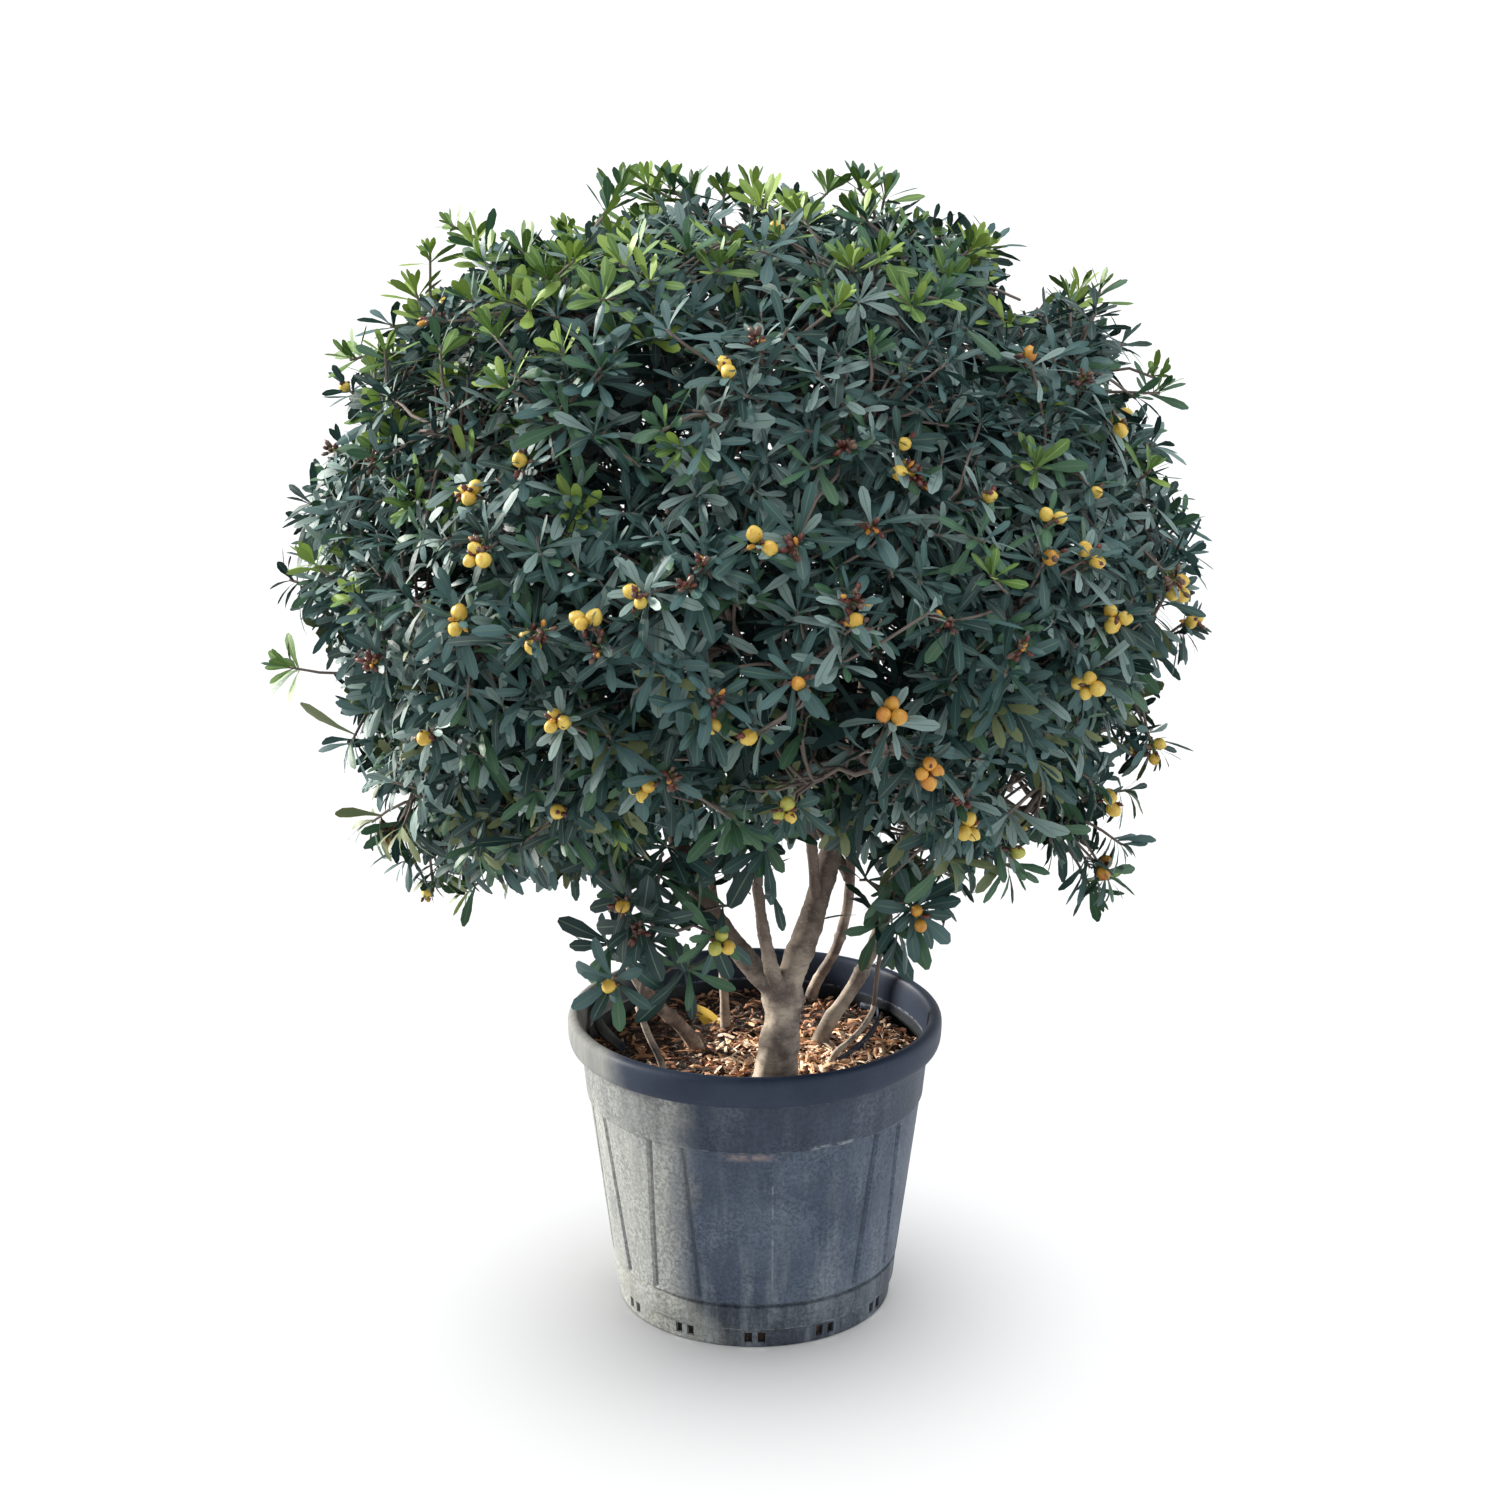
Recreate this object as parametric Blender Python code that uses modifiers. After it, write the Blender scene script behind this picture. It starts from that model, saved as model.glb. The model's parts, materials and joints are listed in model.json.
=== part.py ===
"""A potted pittosporum: a broad evergreen bush with whorled leaves and yellow capsules, in a black nursery pot.

Metres, +Z up. The origin is the middle of the pot's flat underside, and the front of the plant faces -Y.
Azimuths are in degrees: 0 is the right of the front view (+X), 90 the back, 180 the left and 270 the front.
"""

import math
import random

import bmesh
import bpy
from mathutils import Matrix, Vector
from mathutils.bvhtree import BVHTree

GAP = 0.0003  # between two pieces that touch
WELD = 0.00001

# The pot: a 30 litre container with a rolled rim, a collar, grooved panels and a foot with drain slots.
POT_HEIGHT = 0.322
RIM_RADIUS = 0.200
BASE_RADIUS = 0.1485
WALL = 0.0045
COLLAR_BOTTOM = 0.234
PANEL_BOTTOM = 0.0535
FOOT_HEIGHT = 0.022
POT_STEPS = 36
PANELS = 3  # wide ones, with a narrow strip on both sides of each
PANEL_MIDDLE = 280.0  # azimuth of the wide panel at the front
GROOVE_OFFSETS = ((35.0, 32.0), (47.5, 52.0))  # a strip's edges from the panel's middle, at the top and the bottom
GROOVE_RADIUS = 0.0032
DRAIN_PAIRS = 12
DRAIN_FIRST = 270.0
DRAIN_WIDTH = 0.008
DRAIN_HEIGHT = 0.012
DRAIN_SPACING = 0.007  # from a pair's middle to the middle of each slot

SOIL_LEVEL = 0.283

# The crown's outline: round above its widest level and squarer below, open underneath and higher at the front.
CROWN_MIDDLE = Vector((-0.010, 0.0, 0.800))
CROWN_REACH = 0.482
CROWN_RISE = 0.402
CROWN_DROP = 0.378
CROWN_ROUND_ABOVE = 2.3
CROWN_ROUND_BELOW = 3.0
CROWN_OPEN_BELOW = -0.92  # no twig ends nearer than this to straight down, from 1 at the top to -1
FRONT_LIFT = 0.155
STRAY_TIPS = (  # twigs that reach past the outline
    (-0.475, -0.050, 0.712),
    (-0.275, -0.030, 1.130),
    (-0.140, -0.030, 1.170),
    (0.400, -0.050, 0.990),
    (0.425, 0.020, 0.850),
    (-0.300, -0.050, 0.475),
    (0.350, -0.050, 0.475),
)

# Leaves stand for the plant's smaller ones, so they are half as long again as the 65 mm of the real leaf.
LEAF_LENGTH = 0.104
LEAF_WIDTH = 0.044
LEAF_THICKNESS = 0.0030
LEAF_WIDEST = 0.66  # the share of its length where a leaf is widest
LEAVES_IN_WHORL = 6
LEAF_TRIES = [(share, turn) for share in (1.0, 0.85, 0.70) for turn in (0.0, 0.5, -0.5)]
WHORLS = 88
GOLDEN_ANGLE = math.radians(137.5)
CORE_RADIUS = 0.094
CORE_SHARE = 0.72  # how far out the dense inside of a mass comes
CORE_CREVICE = 0.016  # between two of them
FRUIT_RADIUS = 0.011

STEM_RADIUS = 0.0048
STEM_SINK = 0.0030  # a stem starts this far inside its bough's tip, and is cut clear of it
TWIG_RADIUS = 0.0042

COLOURS = {
    "pot_plastic": ((0.10, 0.12, 0.15), 0.65),
    "potting_mix": ((0.16, 0.09, 0.06), 0.95),
    "bark": ((0.30, 0.25, 0.20), 0.85),
    "foliage": ((0.05, 0.13, 0.08), 0.45),
}


def clear_scene():
    for item in list(bpy.data.objects):
        bpy.data.objects.remove(item)


def make_materials():
    made = {}
    for name, (colour, roughness) in COLOURS.items():
        material = bpy.data.materials.new(name)
        material.use_nodes = True
        shader = material.node_tree.nodes["Principled BSDF"]
        shader.inputs["Base Color"].default_value = (*colour, 1.0)
        shader.inputs["Roughness"].default_value = roughness
        made[name] = material
    return made


def new_collection(name):
    collection = bpy.data.collections.new(name)
    bpy.context.scene.collection.children.link(collection)
    return collection


def new_object(name, mesh, collection, material=None):
    item = bpy.data.objects.new(name, mesh)
    collection.objects.link(item)
    if material is not None:
        mesh.materials.clear()
        mesh.materials.append(material)
    return item


def polar(distance, azimuth, height):
    turn = math.radians(azimuth)
    return Vector((distance * math.cos(turn), distance * math.sin(turn), height))


def evaluated_mesh(item):
    """The object's mesh with its modifiers applied, in world space."""
    bpy.context.view_layer.update()
    graph = bpy.context.evaluated_depsgraph_get()
    mesh = bpy.data.meshes.new_from_object(item.evaluated_get(graph))
    mesh.transform(item.matrix_world)
    return mesh


# The pot and its filling

def turned(name, profile, steps, collection, material):
    """A closed profile at +X, from the axis round to the axis, turned about Z."""
    mesh = bpy.data.meshes.new(name)
    points = [(radius, 0.0, height) for radius, height in profile]
    edges = [(i, i + 1) for i in range(len(points) - 1)]
    mesh.from_pydata(points, edges, [])
    item = new_object(name, mesh, collection, material)
    screw = item.modifiers.new("turn", "SCREW")
    screw.steps = steps
    screw.render_steps = steps
    screw.use_merge_vertices = True
    screw.merge_threshold = 0.0001
    return item


def box_mesh(name, size, matrix):
    shape = bmesh.new()
    bmesh.ops.create_cube(shape, size=1.0, matrix=matrix @ Matrix.Diagonal((*size, 1.0)))
    mesh = bpy.data.meshes.new(name)
    shape.to_mesh(mesh)
    shape.free()
    return mesh


def panel_radius(height):
    """Outer radius of the tapered panel zone."""
    bottom, top = BASE_RADIUS + 0.0075, RIM_RADIUS - 0.021
    share = (height - PANEL_BOTTOM) / (COLLAR_BOTTOM - PANEL_BOTTOM)
    return bottom + (top - bottom) * share


def pot_profile():
    """From the middle of the floor out, up the inside, over the rim and down the outside to the middle below."""
    rim, base, top = RIM_RADIUS, BASE_RADIUS, POT_HEIGHT
    inside_foot = base - WALL
    inside_top = rim - 0.013 - WALL
    return (
        (0.0, WALL),
        (inside_foot, WALL),
        (inside_top, top - 0.033),
        (rim - 0.0145, top - 0.008),
        (rim - 0.0115, top - 0.002),
        (rim - 0.0065, top),
        (rim - 0.002, top - 0.004),
        (rim, top - 0.014),
        (rim - 0.001, top - 0.025),
        (rim - 0.006, top - 0.031),
        (rim - 0.013, top - 0.032),
        (rim - 0.0187, COLLAR_BOTTOM + 0.0015),
        (panel_radius(COLLAR_BOTTOM), COLLAR_BOTTOM),
        (panel_radius(PANEL_BOTTOM), PANEL_BOTTOM),
        (base + 0.005, PANEL_BOTTOM - 0.0025),
        (base + 0.0065, PANEL_BOTTOM - 0.006),
        (base + 0.0035, FOOT_HEIGHT),
        (base, 0.0),
        (0.0, 0.0),
    )


def groove_cutters(collection):
    low_height, high_height = PANEL_BOTTOM + 0.004, COLLAR_BOTTOM - 0.002
    for panel in range(PANELS):
        middle = PANEL_MIDDLE + panel * 360 / PANELS
        for side in (-1, 1):
            for number, (above, below) in enumerate(GROOVE_OFFSETS):
                low = polar(panel_radius(low_height), middle + side * below, low_height)
                high = polar(panel_radius(high_height), middle + side * above, high_height)
                name = f"groove_cutter_{panel}_{(side + 1) // 2}_{number}"
                cone_object(name, low, high, GROOVE_RADIUS, GROOVE_RADIUS, 4, collection)


def drain_cutters(collection):
    length = 0.03
    for pair in range(DRAIN_PAIRS):
        for side in (-1, 1):
            turn = math.radians(DRAIN_FIRST + pair * 360 / DRAIN_PAIRS)
            turn += side * DRAIN_SPACING / BASE_RADIUS
            place = Matrix.Rotation(turn, 4, "Z") @ Matrix.Translation(
                (BASE_RADIUS, 0, WALL + 0.001 + DRAIN_HEIGHT / 2)
            )
            name = f"drain_cutter_{pair}_{(side + 1) // 2}"
            size = (length, DRAIN_WIDTH, DRAIN_HEIGHT)
            new_object(name, box_mesh(name, size, place), collection)


def build_pot(parts, cutters, materials):
    pot = turned("pot", pot_profile(), POT_STEPS, parts, materials["pot_plastic"])
    groove_cutters(cutters)
    drain_cutters(cutters)
    for cutter in cutters.objects:
        cutter.hide_render = True
        cutter.display_type = "WIRE"
    cut = pot.modifiers.new("grooves and drain slots", "BOOLEAN")
    cut.operation = "DIFFERENCE"
    cut.operand_type = "COLLECTION"
    cut.collection = cutters
    cut.solver = "EXACT"


def build_potting_mix(parts, materials):
    clearance = 2 * GAP
    edge_drop = 0.010
    foot = BASE_RADIUS - WALL - clearance
    inside_top = RIM_RADIUS - 0.013 - WALL
    slope = (inside_top - BASE_RADIUS + WALL) / (POT_HEIGHT - 0.033 - WALL)
    edge_height = SOIL_LEVEL - edge_drop
    profile = (
        (0.0, SOIL_LEVEL),
        (0.166, SOIL_LEVEL),
        (foot + slope * (edge_height - WALL), edge_height),
        (foot, WALL + GAP),
        (0.0, WALL + GAP),
    )
    turned("potting_mix", profile, POT_STEPS, parts, materials["potting_mix"])


# Limbs: the trunk, the stems that leave the soil and the boughs

def bezier(start, control, end, count):
    points = []
    for i in range(count + 1):
        t = i / count
        points.append(start * (1 - t) ** 2 + control * 2 * t * (1 - t) + end * t**2)
    return points


def smooth_path(route, per_span=3):
    """A path through the route's points, rounded at each by quadratic arcs."""
    if len(route) < 3:
        return list(route)
    points = [route[0]]
    start = route[0]
    for i in range(1, len(route) - 1):
        end = route[i + 1] if i == len(route) - 2 else (route[i] + route[i + 1]) / 2
        points += bezier(start, route[i], end, per_span)[1:]
        start = end
    return points


def tube_mesh(name, path, first_radius, last_radius, resolution, flare=1.0):
    """A closed tapering tube along the path. flare widens its foot."""
    curve = bpy.data.curves.new(name, "CURVE")
    curve.dimensions = "3D"
    curve.bevel_depth = first_radius
    curve.bevel_resolution = resolution
    curve.use_fill_caps = True
    spline = curve.splines.new("POLY")
    spline.points.add(len(path) - 1)
    length = sum((b - a).length for a, b in zip(path, path[1:]))
    along = 0.0
    for i, point in enumerate(path):
        if i:
            along += (point - path[i - 1]).length
        share = along / length
        radius = first_radius + (last_radius - first_radius) * share
        widened = 1 + (flare - 1) * max(0.0, 1 - 6 * share) ** 2
        spline.points[i].co = (*point, 1.0)
        spline.points[i].radius = radius / first_radius * widened
    item = bpy.data.objects.new(name, curve)
    bpy.context.scene.collection.objects.link(item)
    mesh = evaluated_mesh(item)
    bpy.data.objects.remove(item)
    shape = bmesh.new()
    shape.from_mesh(mesh)
    bmesh.ops.remove_doubles(shape, verts=shape.verts, dist=WELD)
    bmesh.ops.triangulate(shape, faces=shape.faces)
    shape.to_mesh(mesh)
    shape.free()
    return mesh


class Limb:
    """A tapering limb: its path, its radii and its built mesh."""

    def __init__(self, name, path, first_radius, last_radius, resolution=1, flare=1.0):
        self.name = name
        self.path = path
        self.first_radius = first_radius
        self.last_radius = last_radius
        self.resolution = resolution
        self.flare = flare
        self.mesh = tube_mesh(name, path, first_radius, last_radius, resolution, flare)

    def point_at(self, share):
        lengths = [(b - a).length for a, b in zip(self.path, self.path[1:])]
        left = share * sum(lengths)
        for (a, b), length in zip(zip(self.path, self.path[1:]), lengths):
            if left <= length:
                return a.lerp(b, left / length)
            left -= length
        return self.path[-1].copy()

    @property
    def tip(self):
        return self.path[-1]

    @property
    def heading(self):
        return (self.path[-1] - self.path[-2]).normalized()

    def outgrown(self):
        """The limb's shape, wider and longer by a gap."""
        path = self.path[:-1] + [self.tip + self.heading * GAP]
        return tube_mesh(
            "outgrown", path, self.first_radius + GAP, self.last_radius + GAP, self.resolution, self.flare
        )

    def cut_clear_of(self, parent):
        """Ends this limb at the parent's side, a gap away from it."""
        self.mesh = without(self.mesh, parent.outgrown())


def without(mesh, cutter_mesh):
    """The largest body that is left of a mesh when another is cut from it."""
    item = new_object("uncut", mesh, bpy.context.scene.collection)
    cutter = new_object("cutter", cutter_mesh, bpy.context.scene.collection)
    cut = item.modifiers.new("cut", "BOOLEAN")
    cut.operation = "DIFFERENCE"
    cut.object = cutter
    cut.solver = "EXACT"
    left = evaluated_mesh(item)
    bpy.data.objects.remove(item)
    bpy.data.objects.remove(cutter)
    return largest_body(left)


def largest_body(mesh):
    """Keeps the mesh's largest closed body: loose scraps go, and a sealed hollow is filled."""
    shape = bmesh.new()
    shape.from_mesh(mesh)
    bmesh.ops.triangulate(shape, faces=shape.faces)
    unseen = set(shape.faces)
    bodies = []
    while unseen:
        first = unseen.pop()
        body, front = [first], [first]
        while front:
            for edge in front.pop().edges:
                if len(edge.link_faces) != 2:
                    continue
                for face in edge.link_faces:
                    if face in unseen:
                        unseen.remove(face)
                        body.append(face)
                        front.append(face)
        volume = sum(
            face.verts[0].co.dot(face.verts[1].co.cross(face.verts[2].co)) for face in body
        )
        bodies.append((volume, len(bodies), body))
    bodies.sort(reverse=True)
    spare = [face for _, _, body in bodies[1:] for face in body]
    bmesh.ops.delete(shape, geom=spare, context="FACES")
    shape.to_mesh(mesh)
    shape.free()
    return mesh


def stem_from_soil(name, x, y, route, first_radius, last_radius, resolution=1, flare=1.25):
    """A stem with a flat cut on the soil. Its first few millimetres stand upright."""
    foot = Vector((x, y, SOIL_LEVEL + GAP))
    upright = foot + Vector((0, 0, 0.010))
    path = [foot] + smooth_path([upright] + [Vector(p) for p in route])
    return Limb(name, path, first_radius, last_radius, resolution, flare)


def build_limbs():
    """The trunk and stems that the photo shows above the soil, from the front left round to the right."""
    limbs = {}
    limbs["trunk"] = stem_from_soil(
        "trunk", 0.027, -0.108, [(0.025, -0.106, 0.325), (0.030, -0.097, 0.362), (0.030, -0.093, 0.385)],
        0.0185, 0.0190, resolution=4, flare=1.35,
    )
    limbs["left_stem"] = stem_from_soil(
        "left_stem", -0.061, -0.012, [(-0.123, -0.053, 0.365), (-0.142, -0.080, 0.450), (-0.165, -0.095, 0.545)],
        0.0075, 0.0052,
    )
    limbs["left_sucker"] = stem_from_soil(
        "left_sucker", -0.095, -0.085, [(-0.112, -0.082, 0.325), (-0.122, -0.078, 0.355)], 0.0042, 0.0034
    )
    limbs["middle_stem"] = stem_from_soil(
        "middle_stem", -0.032, 0.050, [(-0.036, 0.046, 0.390), (-0.066, 0.100, 0.555)], 0.0052, 0.0042
    )
    limbs["back_stem"] = stem_from_soil(
        "back_stem", 0.063, 0.142, [(0.094, 0.133, 0.342), (0.110, 0.107, 0.440), (0.100, 0.125, 0.545)],
        0.0062, 0.0050,
    )
    limbs["right_stem"] = stem_from_soil(
        "right_stem", 0.068, 0.000, [(0.112, 0.027, 0.343), (0.139, 0.036, 0.410), (0.168, 0.010, 0.530)],
        0.0085, 0.0055,
    )
    limbs["right_sucker"] = stem_from_soil(
        "right_sucker", 0.078, -0.062, [(0.104, -0.044, 0.305), (0.126, -0.014, 0.322), (0.128, 0.004, 0.326)],
        0.0034, 0.0028,
    )
    limbs["right_limb"] = Limb(
        "right_limb",
        smooth_path([Vector((0.030, -0.095, 0.380)), Vector((0.080, -0.053, 0.480)), Vector((0.114, 0.004, 0.670))]),
        0.0150, 0.0085, resolution=2,
    )
    limbs["right_limb"].cut_clear_of(limbs["trunk"])
    limbs["left_limb"] = Limb(
        "left_limb",
        smooth_path([Vector((0.026, -0.095, 0.373)), Vector((-0.034, -0.092, 0.437)), Vector((-0.088, -0.062, 0.540)),
                     Vector((-0.110, -0.030, 0.670))]),
        0.0125, 0.0080, resolution=2,
    )
    limbs["left_limb"].cut_clear_of(limbs["trunk"])
    limbs["left_limb"].cut_clear_of(limbs["right_limb"])
    limbs["centre_shoot"] = Limb(
        "centre_shoot",
        smooth_path([Vector((0.026, -0.102, 0.384)), Vector((0.012, -0.124, 0.410)), Vector((0.002, -0.118, 0.505))]),
        0.0060, 0.0045,
    )
    for parent in ("trunk", "right_limb", "left_limb"):
        limbs["centre_shoot"].cut_clear_of(limbs[parent])
    return limbs


def frontness(azimuth):
    """1 at the front of the plant, 0 from the sides back."""
    return max(0.0, -math.sin(math.radians(azimuth)))


# Boughs: name, the limb it leaves, the share of that limb's length where it leaves, and its tip
LOW_BOUGH_PARENTS = (
    ("right_stem", 0.78),
    ("back_stem", 0.80),
    ("back_stem", 0.60),
    ("middle_stem", 0.80),
    ("left_limb", 0.62),
    ("left_stem", 0.72),
    ("right_limb", 0.30),
    ("right_limb", 0.50),
)
LOW_BOUGH_DISTANCE = 0.190
LOW_BOUGH_HEIGHT = 0.600
SHOULDER_BOUGHS = (
    ("right", "right_limb", 0.78, 0.0),
    ("back", "left_limb", 0.90, 102.0),
    ("left", "left_limb", 0.78, 205.0),
    ("front", "right_limb", 0.72, 282.0),
)
SHOULDER_BOUGH_DISTANCE = 0.150
SHOULDER_BOUGH_HEIGHT = 0.800
LEADER_TOP = (0.050, 0.940)


def grow_bough(name, parent, share, tip, first_radius, last_radius, upright=0.45):
    """A bough that leaves its parent steeply and bends out to its tip."""
    start = parent.point_at(share)
    rise = Vector((0, 0, (tip - start).length * upright))
    bough = Limb(name, bezier(start, (start + tip) / 2 + rise * 0.35, tip, 4), first_radius, last_radius)
    bough.cut_clear_of(parent)
    return bough


def build_boughs(limbs):
    boughs = {}
    for number, (parent, share) in enumerate(LOW_BOUGH_PARENTS):
        azimuth = 11.25 + 45 * number
        tip = polar(LOW_BOUGH_DISTANCE, azimuth, LOW_BOUGH_HEIGHT + 0.12 * frontness(azimuth) ** 1.5)
        name = f"low_bough_{number}"
        boughs[name] = grow_bough(name, limbs[parent], share, tip, 0.0058, 0.0048)
    for side, parent, share, azimuth in SHOULDER_BOUGHS:
        tip = polar(SHOULDER_BOUGH_DISTANCE, azimuth, SHOULDER_BOUGH_HEIGHT)
        name = f"shoulder_bough_{side}"
        boughs[name] = grow_bough(name, limbs[parent], share, tip, 0.0062, 0.0050)
    for side, parent in ((-1, "left_limb"), (1, "right_limb")):
        limb = limbs[parent]
        start = limb.tip + limb.heading * GAP
        tip = Vector((side * LEADER_TOP[0], 0.0, LEADER_TOP[1]))
        name = "left_leader" if side < 0 else "right_leader"
        path = [start] + bezier(start + limb.heading * 0.010, start + limb.heading * 0.12, tip, 5)
        boughs[name] = Limb(name, path, 0.0078, 0.0058)
    return boughs


# The crown's outline and the masses of foliage that share it

def outline_share(point):
    """How far out a point lies: 0 at the crown's middle and 1 on its outline."""
    away = point - CROWN_MIDDLE
    out = math.hypot(away.x, away.y) / CROWN_REACH
    if away.z > 0:
        return (out**CROWN_ROUND_ABOVE + (away.z / CROWN_RISE) ** CROWN_ROUND_ABOVE) ** (1 / CROWN_ROUND_ABOVE)
    drop = CROWN_DROP - FRONT_LIFT * frontness(math.degrees(math.atan2(away.y, away.x))) ** 1.5
    return (out**CROWN_ROUND_BELOW + (-away.z / drop) ** CROWN_ROUND_BELOW) ** (1 / CROWN_ROUND_BELOW)


def outline_points(count):
    """Points spread evenly over the crown's outline on a golden spiral, from the top down."""
    points = []
    for i in range(count):
        up = 1 - (i + 0.5) / count * (1 - CROWN_OPEN_BELOW)
        out = math.sqrt(1 - up * up)
        turn = i * GOLDEN_ANGLE
        height = CROWN_RISE if up > 0 else CROWN_DROP
        away = Vector((out * math.cos(turn) * CROWN_REACH, out * math.sin(turn) * CROWN_REACH, up * height))
        points.append(CROWN_MIDDLE + away / outline_share(CROWN_MIDDLE + away))
    return points


class Mass:
    """A mass of foliage: the bough it leaves, the middle of its space and, outside the crown, that space's radius."""

    def __init__(self, name, bough, centre, fruit=0, reach=None, whorls=0):
        self.name = name
        self.bough = bough
        self.centre = centre
        self.fruit = fruit
        self.reach = reach
        self.whorls = whorls
        self.stem = None
        self.stem_mesh = None
        self.stem_tree = None
        self.tips = []
        self.strays = []


def ring_of_masses(ring, count, first, distance, height, lift, boughs, fruit):
    """Masses spaced evenly round the crown. lift raises those at the front."""
    made = []
    for number in range(count):
        azimuth = first + number * 360 / count
        centre = polar(distance, azimuth, height + lift * frontness(azimuth) ** 1.5)
        centre.x += CROWN_MIDDLE.x
        made.append(Mass(f"{ring}_{number}", boughs[number], centre, fruit=fruit[number]))
    return made


def plan_masses():
    low = [f"low_bough_{number}" for number in range(8)]
    shoulder = [f"shoulder_bough_{side}" for side in ("right", "back", "back", "left", "left", "front", "right")]
    top = ["right_leader", "left_leader", "left_leader", "right_leader"]
    masses = []
    masses += ring_of_masses("skirt", 8, 22.5, 0.315, 0.533, FRONT_LIFT, low, (2, 0, 0, 2, 2, 2, 2, 2))
    masses += ring_of_masses("waist", 8, 0.0, 0.350, 0.725, FRONT_LIFT / 2, low, (2, 0, 2, 0, 0, 2, 2, 2))
    masses += ring_of_masses("shoulder", 7, 25.7, 0.310, 0.925, 0.03, shoulder, (0, 0, 0, 0, 2, 0, 0))
    masses += ring_of_masses("top", 4, 45.0, 0.185, 1.055, 0.0, top, (0, 0, 0, 2))
    masses.append(Mass("crest", "left_leader", Vector((-0.010, 0.0, 1.085))))
    share_outline(masses)
    masses.append(
        Mass("low_left", "left_sucker", Vector((-0.100, -0.125, 0.475)), fruit=2, reach=0.110, whorls=3)
    )
    masses.append(
        Mass("low_right", "right_sucker", Vector((0.165, -0.035, 0.465)), fruit=2, reach=0.100, whorls=2)
    )
    masses.append(Mass("low_centre", "centre_shoot", Vector((0.000, -0.120, 0.540)), reach=0.090, whorls=2))
    for seed, mass in enumerate(masses):
        if mass.reach:
            mass.tips = shoot_tips(mass, random.Random(seed))
    return masses


def nearest_mass(point, masses):
    return min(masses, key=lambda mass: (mass.centre - point).length)


def spread_tips(points, count, rng):
    """Places spread evenly among the points: each moves to the middle of those nearest it, a few times over."""
    tips = rng.sample(points, count)
    for _ in range(8):
        groups = [[] for _ in tips]
        for point in points:
            nearest = min(range(count), key=lambda i: (tips[i] - point).length)
            groups[nearest].append(point)
        tips = [sum(group, Vector()) / len(group) if group else tip for tip, group in zip(tips, groups)]
    return tips


def share_outline(masses):
    """Gives each mass its share of the twig tips, just inside the part of the outline that is nearest it."""
    points = outline_points(1200)
    for seed, mass in enumerate(masses):
        own = [point for point in points if nearest_mass(point, masses) is mass]
        count = max(2, round(WHORLS * len(own) / len(points)))
        for tip in spread_tips(own, count, random.Random(seed)):
            inward = (CROWN_MIDDLE - tip).normalized()
            mass.tips.append(tip + inward * LEAF_LENGTH * 0.52)
    for tip in STRAY_TIPS:
        nearest_mass(Vector(tip), masses).strays.append(Vector(tip))


def shoot_tips(mass, rng):
    """The twig tips of a low shoot, spread round the middle of its space."""
    turn = rng.uniform(0, 360)
    return [
        mass.centre + polar(mass.reach * 0.35, turn + i * 360 / mass.whorls, mass.reach * rng.uniform(-0.2, 0.4))
        for i in range(mass.whorls)
    ]


def cone_object(name, start, end, first_radius, last_radius, sides, collection):
    """A straight tapering prism between two points."""
    run = end - start
    turn = run.to_track_quat("Z", "Y").to_matrix().to_4x4()
    shape = bmesh.new()
    bmesh.ops.create_cone(
        shape, cap_ends=True, cap_tris=False, segments=sides, radius1=first_radius, radius2=last_radius,
        depth=run.length, matrix=Matrix.Translation((start + end) / 2) @ turn,
    )
    mesh = bpy.data.meshes.new(name)
    shape.to_mesh(mesh)
    shape.free()
    return new_object(name, mesh, collection)


def leaf_points(base, direction, face, length):
    """Corners of a leaf: its base, two sides and tip, then the ridge of its upper face."""
    across = face.cross(direction) * (LEAF_WIDTH * length / LEAF_LENGTH / 2)
    widest = base + direction * (length * LEAF_WIDEST)
    return [
        base,
        widest + across,
        base + direction * length,
        widest - across,
        base + direction * (length * 0.55) + face * LEAF_THICKNESS,
    ]


def leaf_object(name, points, collection):
    """A flat pyramid on the leaf's outline: a cone of four sides, its corners moved to the leaf's."""
    shape = bmesh.new()
    bmesh.ops.create_cone(shape, segments=4, radius1=1.0, radius2=0.0, depth=1.0, cap_ends=True)
    bmesh.ops.remove_doubles(shape, verts=shape.verts, dist=WELD)
    corners = sorted(shape.verts, key=lambda v: (v.co.z > 0, math.atan2(v.co.y, v.co.x) % math.tau))
    for vertex, point in zip(corners, points):
        vertex.co = point
    bmesh.ops.recalc_face_normals(shape, faces=shape.faces)
    mesh = bpy.data.meshes.new(name)
    shape.to_mesh(mesh)
    shape.free()
    return new_object(name, mesh, collection)


def ball_object(name, centre, radius_along, subdivisions, collection):
    """A faceted ball. radius_along gives its radius in each direction."""
    shape = bmesh.new()
    bmesh.ops.create_icosphere(shape, subdivisions=subdivisions, radius=1.0)
    for vertex in shape.verts:
        vertex.co = centre + vertex.co * radius_along(vertex.co)
    mesh = bpy.data.meshes.new(name)
    shape.to_mesh(mesh)
    shape.free()
    return new_object(name, mesh, collection)


def tree_of(mesh):
    mesh.calc_loop_triangles()
    return BVHTree.FromPolygons(
        [v.co for v in mesh.vertices], [tuple(t.vertices) for t in mesh.loop_triangles]
    )


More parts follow.
